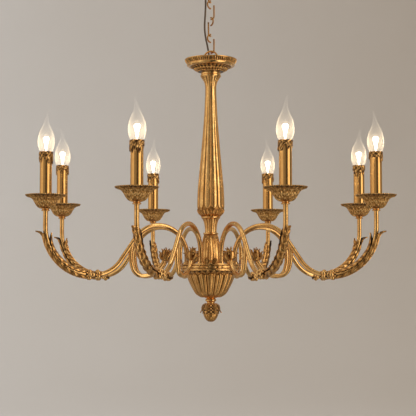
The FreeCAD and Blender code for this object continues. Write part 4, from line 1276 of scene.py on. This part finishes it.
# ---- studio ----
def make_backdrop(look):
    """A wide plain floor that sweeps up into a round wall, painted a little darker to the right as shade."""
    made = new_material("plaster")
    where = made.node("ShaderNodeTexCoord", output="Object")
    across = made.node("ShaderNodeSeparateXYZ", {}, {"Vector": where}, "X")
    # Painted shade: darker towards +X, with soft noise blotches.
    share = (across * 0.22 + made.noise(where, 0.5) * 0.3 + 0.35).kept(0.0, 1.0)
    paint = made.colours(share, colour(look.backdrop), colour(look.backdrop_shade))
    made.done(made.principled(Base_Color=paint, Roughness=0.9))
    floor = CAD_BOX[0].z - 0.9
    line = smooth_line([(0, 0), (3, 0), (6, 0.05), (7.6, 0.7), (8.4, 2.4), (8.6, 4.4), (8.6, 7)], 0.3)
    angle = TURN * np.arange(96)[None, :] / 96
    radius, level = np.maximum(line[:, :1], 0.01), line[:, 1:] + floor
    points = np.stack([radius * np.cos(angle), radius * np.sin(angle), level + 0 * angle], axis=-1)
    form = Form().grid(points)
    mesh = bpy.data.meshes.new("backdrop")
    mesh.from_pydata(np.vstack(form.points).tolist(), [], form.faces)
    mesh.shade_smooth()
    mesh.materials.append(made.holder)
    backdrop = bpy.data.objects.new("backdrop", mesh)
    bpy.context.scene.collection.objects.link(backdrop)
    backdrop.visible_glossy = False


ROOM_TONES = [  # degrees from the front, turning towards +X, and the room's brightness that way
    (-180, 0.55), (-130, 0.4), (-100, 0.8), (-66, 1.1), (-50, 0.9), (-36, 0.4), (-22, 0.22),
    (-12, 0.55), (-2, 0.07), (32, 0.04), (39, 2.0), (50, 2.2), (72, 2.0), (80, 0.2), (96, 0.12),
    (130, 0.4), (180, 0.55),
]  # fmt: skip
HEIGHT_TONES = [(-1.0, 0.45), (-0.45, 0.6), (-0.1, 0.82), (0.25, 0.9), (0.6, 0.75), (1.0, 1.0)]  # by its sine


def make_room(look):
    """The room that the metal reflects: pale walls, a dark doorway and a tall window."""
    made = Shader(bpy.data.worlds.new("room"))
    bpy.context.scene.world = made.holder
    where = made.node("ShaderNodeTexCoord", output="Generated")
    x, y, z = (made.node("ShaderNodeSeparateXYZ", {}, {"Vector": where}, axis) for axis in "XYZ")
    turn = made.node("ShaderNodeMath", {"operation": "ARCTAN2"}, {0: x, 1: 0.0 - y})
    walls = [((degrees + 180) / 360, (tone, 0.95 * tone, 0.86 * tone, 1.0)) for degrees, tone in ROOM_TONES]
    rise = [((sine + 1) / 2, (tone, tone, tone, 1.0)) for sine, tone in HEIGHT_TONES]
    around = made.node("ShaderNodeValToRGB", {"stops": walls}, {0: turn * (1 / TURN) + 0.5}, "Color")
    upward = made.node("ShaderNodeValToRGB", {"stops": rise}, {0: z * 0.5 + 0.5}, "Color")
    blend = {"data_type": "RGBA", "blend_type": "MULTIPLY"}
    walls = made.node("ShaderNodeMix", blend, {0: 1.0, 6: around, 7: upward}, 2)
    sky = made.node("ShaderNodeBackground", {}, {"Color": walls, "Strength": look.sky}, "Background")
    made.done(sky, "ShaderNodeOutputWorld")


def area_light(name, azimuth_deg, elevation_deg, distance, width, height, power, tint):
    """A soft panel that faces the chandelier. Azimuth 0 is the front, and turns towards +X."""
    a, e = math.radians(azimuth_deg), math.radians(elevation_deg)
    away = Vector((math.sin(a) * math.cos(e), -math.cos(a) * math.cos(e), math.sin(e)))
    middle = (CAD_BOX[0] + CAD_BOX[1]) / 2
    data = bpy.data.lights.new(name, "AREA")
    data.shape, data.size, data.size_y, data.energy, data.color = "RECTANGLE", width, height, power, tint
    lamp = bpy.data.objects.new(name, data)
    bpy.context.scene.collection.objects.link(lamp)
    lamp.location = middle + away * distance
    lamp.rotation_mode = "QUATERNION"
    lamp.rotation_quaternion = (-away).to_track_quat("-Z", "Y")
    lamp.visible_camera = False
    lamp.visible_glossy = False


CAMERA_AT = (-0.006, -2.608, HUB_TOP - 0.052)
CAMERA_TILT_DEG = 93.79  # from straight down
SENSOR_WIDTH = 36.0


def make_studio(look):
    make_backdrop(look)
    make_room(look)
    area_light("window", 56, 16, 3.6, 1.8, 2.6, look.key_power, (1.0, 0.97, 0.92))
    area_light("left_wall", -80, 15, 4.0, 1.6, 2.4, look.fill_power, (1.0, 0.95, 0.88))
    area_light("back_wall", 180, 50, 4.5, 3.0, 2.0, look.fill_power, (1.0, 0.97, 0.94))
    data = bpy.data.cameras.new("camera")
    data.lens, data.sensor_width = look.lens, SENSOR_WIDTH
    data.clip_start, data.clip_end = 0.05, 60.0
    camera = bpy.data.objects.new("camera", data)
    bpy.context.scene.collection.objects.link(camera)
    camera.location = CAMERA_AT
    camera.rotation_euler = (math.radians(CAMERA_TILT_DEG), 0, 0)
    bpy.context.scene.camera = camera
    bpy.context.scene.view_settings.view_transform = "Standard"


# ---- operators ----
class CHANDELIER_OT_finishes(bpy.types.Operator):
    """Make the metals, glass, plastic and flex"""

    bl_idname = "chandelier.finishes"
    bl_label = "Finishes"

    def execute(self, context):
        scene = context.scene
        make_finishes(scene.chandelier_finish, scene.chandelier_bulb, scene.chandelier_cord)
        return {"FINISHED"}


class CHANDELIER_OT_cord(bpy.types.Operator):
    """Hang the supply cord beside the chain"""

    bl_idname = "chandelier.cord"
    bl_label = "Supply cord"

    def execute(self, context):
        make_cord(context.scene.chandelier_cord)
        return {"FINISHED"}


class CHANDELIER_OT_column(bpy.types.Operator):
    """Build the canopy, dish, capital, shaft and bell"""

    bl_idname = "chandelier.column"
    bl_label = "Column"

    def execute(self, context):
        look = context.scene.chandelier_column
        make_canopy(look)
        make_dish(look)
        make_capital()
        make_shaft(look)
        make_bell(look)
        return {"FINISHED"}


class CHANDELIER_OT_hub(bpy.types.Operator):
    """Build the hub, bowl and finial"""

    bl_idname = "chandelier.hub"
    bl_label = "Hub and bowl"

    def execute(self, context):
        make_hub()
        make_bowl(context.scene.chandelier_column)
        make_finial()
        return {"FINISHED"}


class CHANDELIER_OT_arms(bpy.types.Operator):
    """Dress the arms with leaves, berries, beads and flowers"""

    bl_idname = "chandelier.arms"
    bl_label = "Arm ornaments"

    def execute(self, context):
        look = context.scene.chandelier_arm
        make_leaf("inner_leaf", leaf_line(57.0, 66.0, 38.0, 1), 1, look, "inner_leaves")
        make_leaf("outer_leaf", leaf_line(77.0, 25.0, 74.0, -1), -1, look, "outer_leaves")
        make_knobs(look)
        make_bead_rings()
        make_flowers()
        return {"FINISHED"}


class CHANDELIER_OT_candles(bpy.types.Operator):
    """Build the pans, collars and wax runs"""

    bl_idname = "chandelier.candles"
    bl_label = "Candles"

    def execute(self, context):
        make_pans(context.scene.chandelier_arm)
        make_pan_collars()
        make_wax_collars()
        return {"FINISHED"}


class CHANDELIER_OT_bulbs(bpy.types.Operator):
    """Fit the lit bulbs"""

    bl_idname = "chandelier.bulbs"
    bl_label = "Bulbs"

    def execute(self, context):
        make_bulbs(context.scene.chandelier_bulb)
        return {"FINISHED"}


class CHANDELIER_OT_studio(bpy.types.Operator):
    """Set up the floor, lights and camera"""

    bl_idname = "chandelier.studio"
    bl_label = "Studio"

    def execute(self, context):
        make_studio(context.scene.chandelier_studio)
        return {"FINISHED"}


OPERATORS = [
    CHANDELIER_OT_finishes,
    CHANDELIER_OT_cord,
    CHANDELIER_OT_column,
    CHANDELIER_OT_hub,
    CHANDELIER_OT_arms,
    CHANDELIER_OT_candles,
    CHANDELIER_OT_bulbs,
    CHANDELIER_OT_studio,
]


class CHANDELIER_PT_panel(bpy.types.Panel):
    """Lists the chandelier's pieces and their settings"""

    bl_idname = "CHANDELIER_PT_panel"
    bl_label = "Chandelier"
    bl_space_type = "VIEW_3D"
    bl_region_type = "UI"
    bl_category = "Chandelier"

    def draw(self, context):
        for operator in OPERATORS:
            self.layout.operator(operator.bl_idname)
        for name, group in GROUPS.items():
            box = self.layout.box()
            box.label(text=group.__doc__)
            for field in group.__annotations__:
                box.prop(getattr(context.scene, name), field)


def register():
    for name, group in GROUPS.items():
        bpy.utils.register_class(group)
        setattr(bpy.types.Scene, name, bpy.props.PointerProperty(type=group))
    for made in OPERATORS + [CHANDELIER_PT_panel]:
        bpy.utils.register_class(made)


def unregister():
    for made in [CHANDELIER_PT_panel] + OPERATORS[::-1]:
        bpy.utils.unregister_class(made)
    for name, group in GROUPS.items():
        delattr(bpy.types.Scene, name)
        bpy.utils.unregister_class(group)


def main():
    register()
    bpy.ops.chandelier.finishes()
    bpy.ops.chandelier.cord()
    bpy.ops.chandelier.column()
    bpy.ops.chandelier.hub()
    bpy.ops.chandelier.arms()
    bpy.ops.chandelier.candles()
    bpy.ops.chandelier.bulbs()
    bpy.ops.chandelier.studio()


if __name__ == "__main__":
    main()
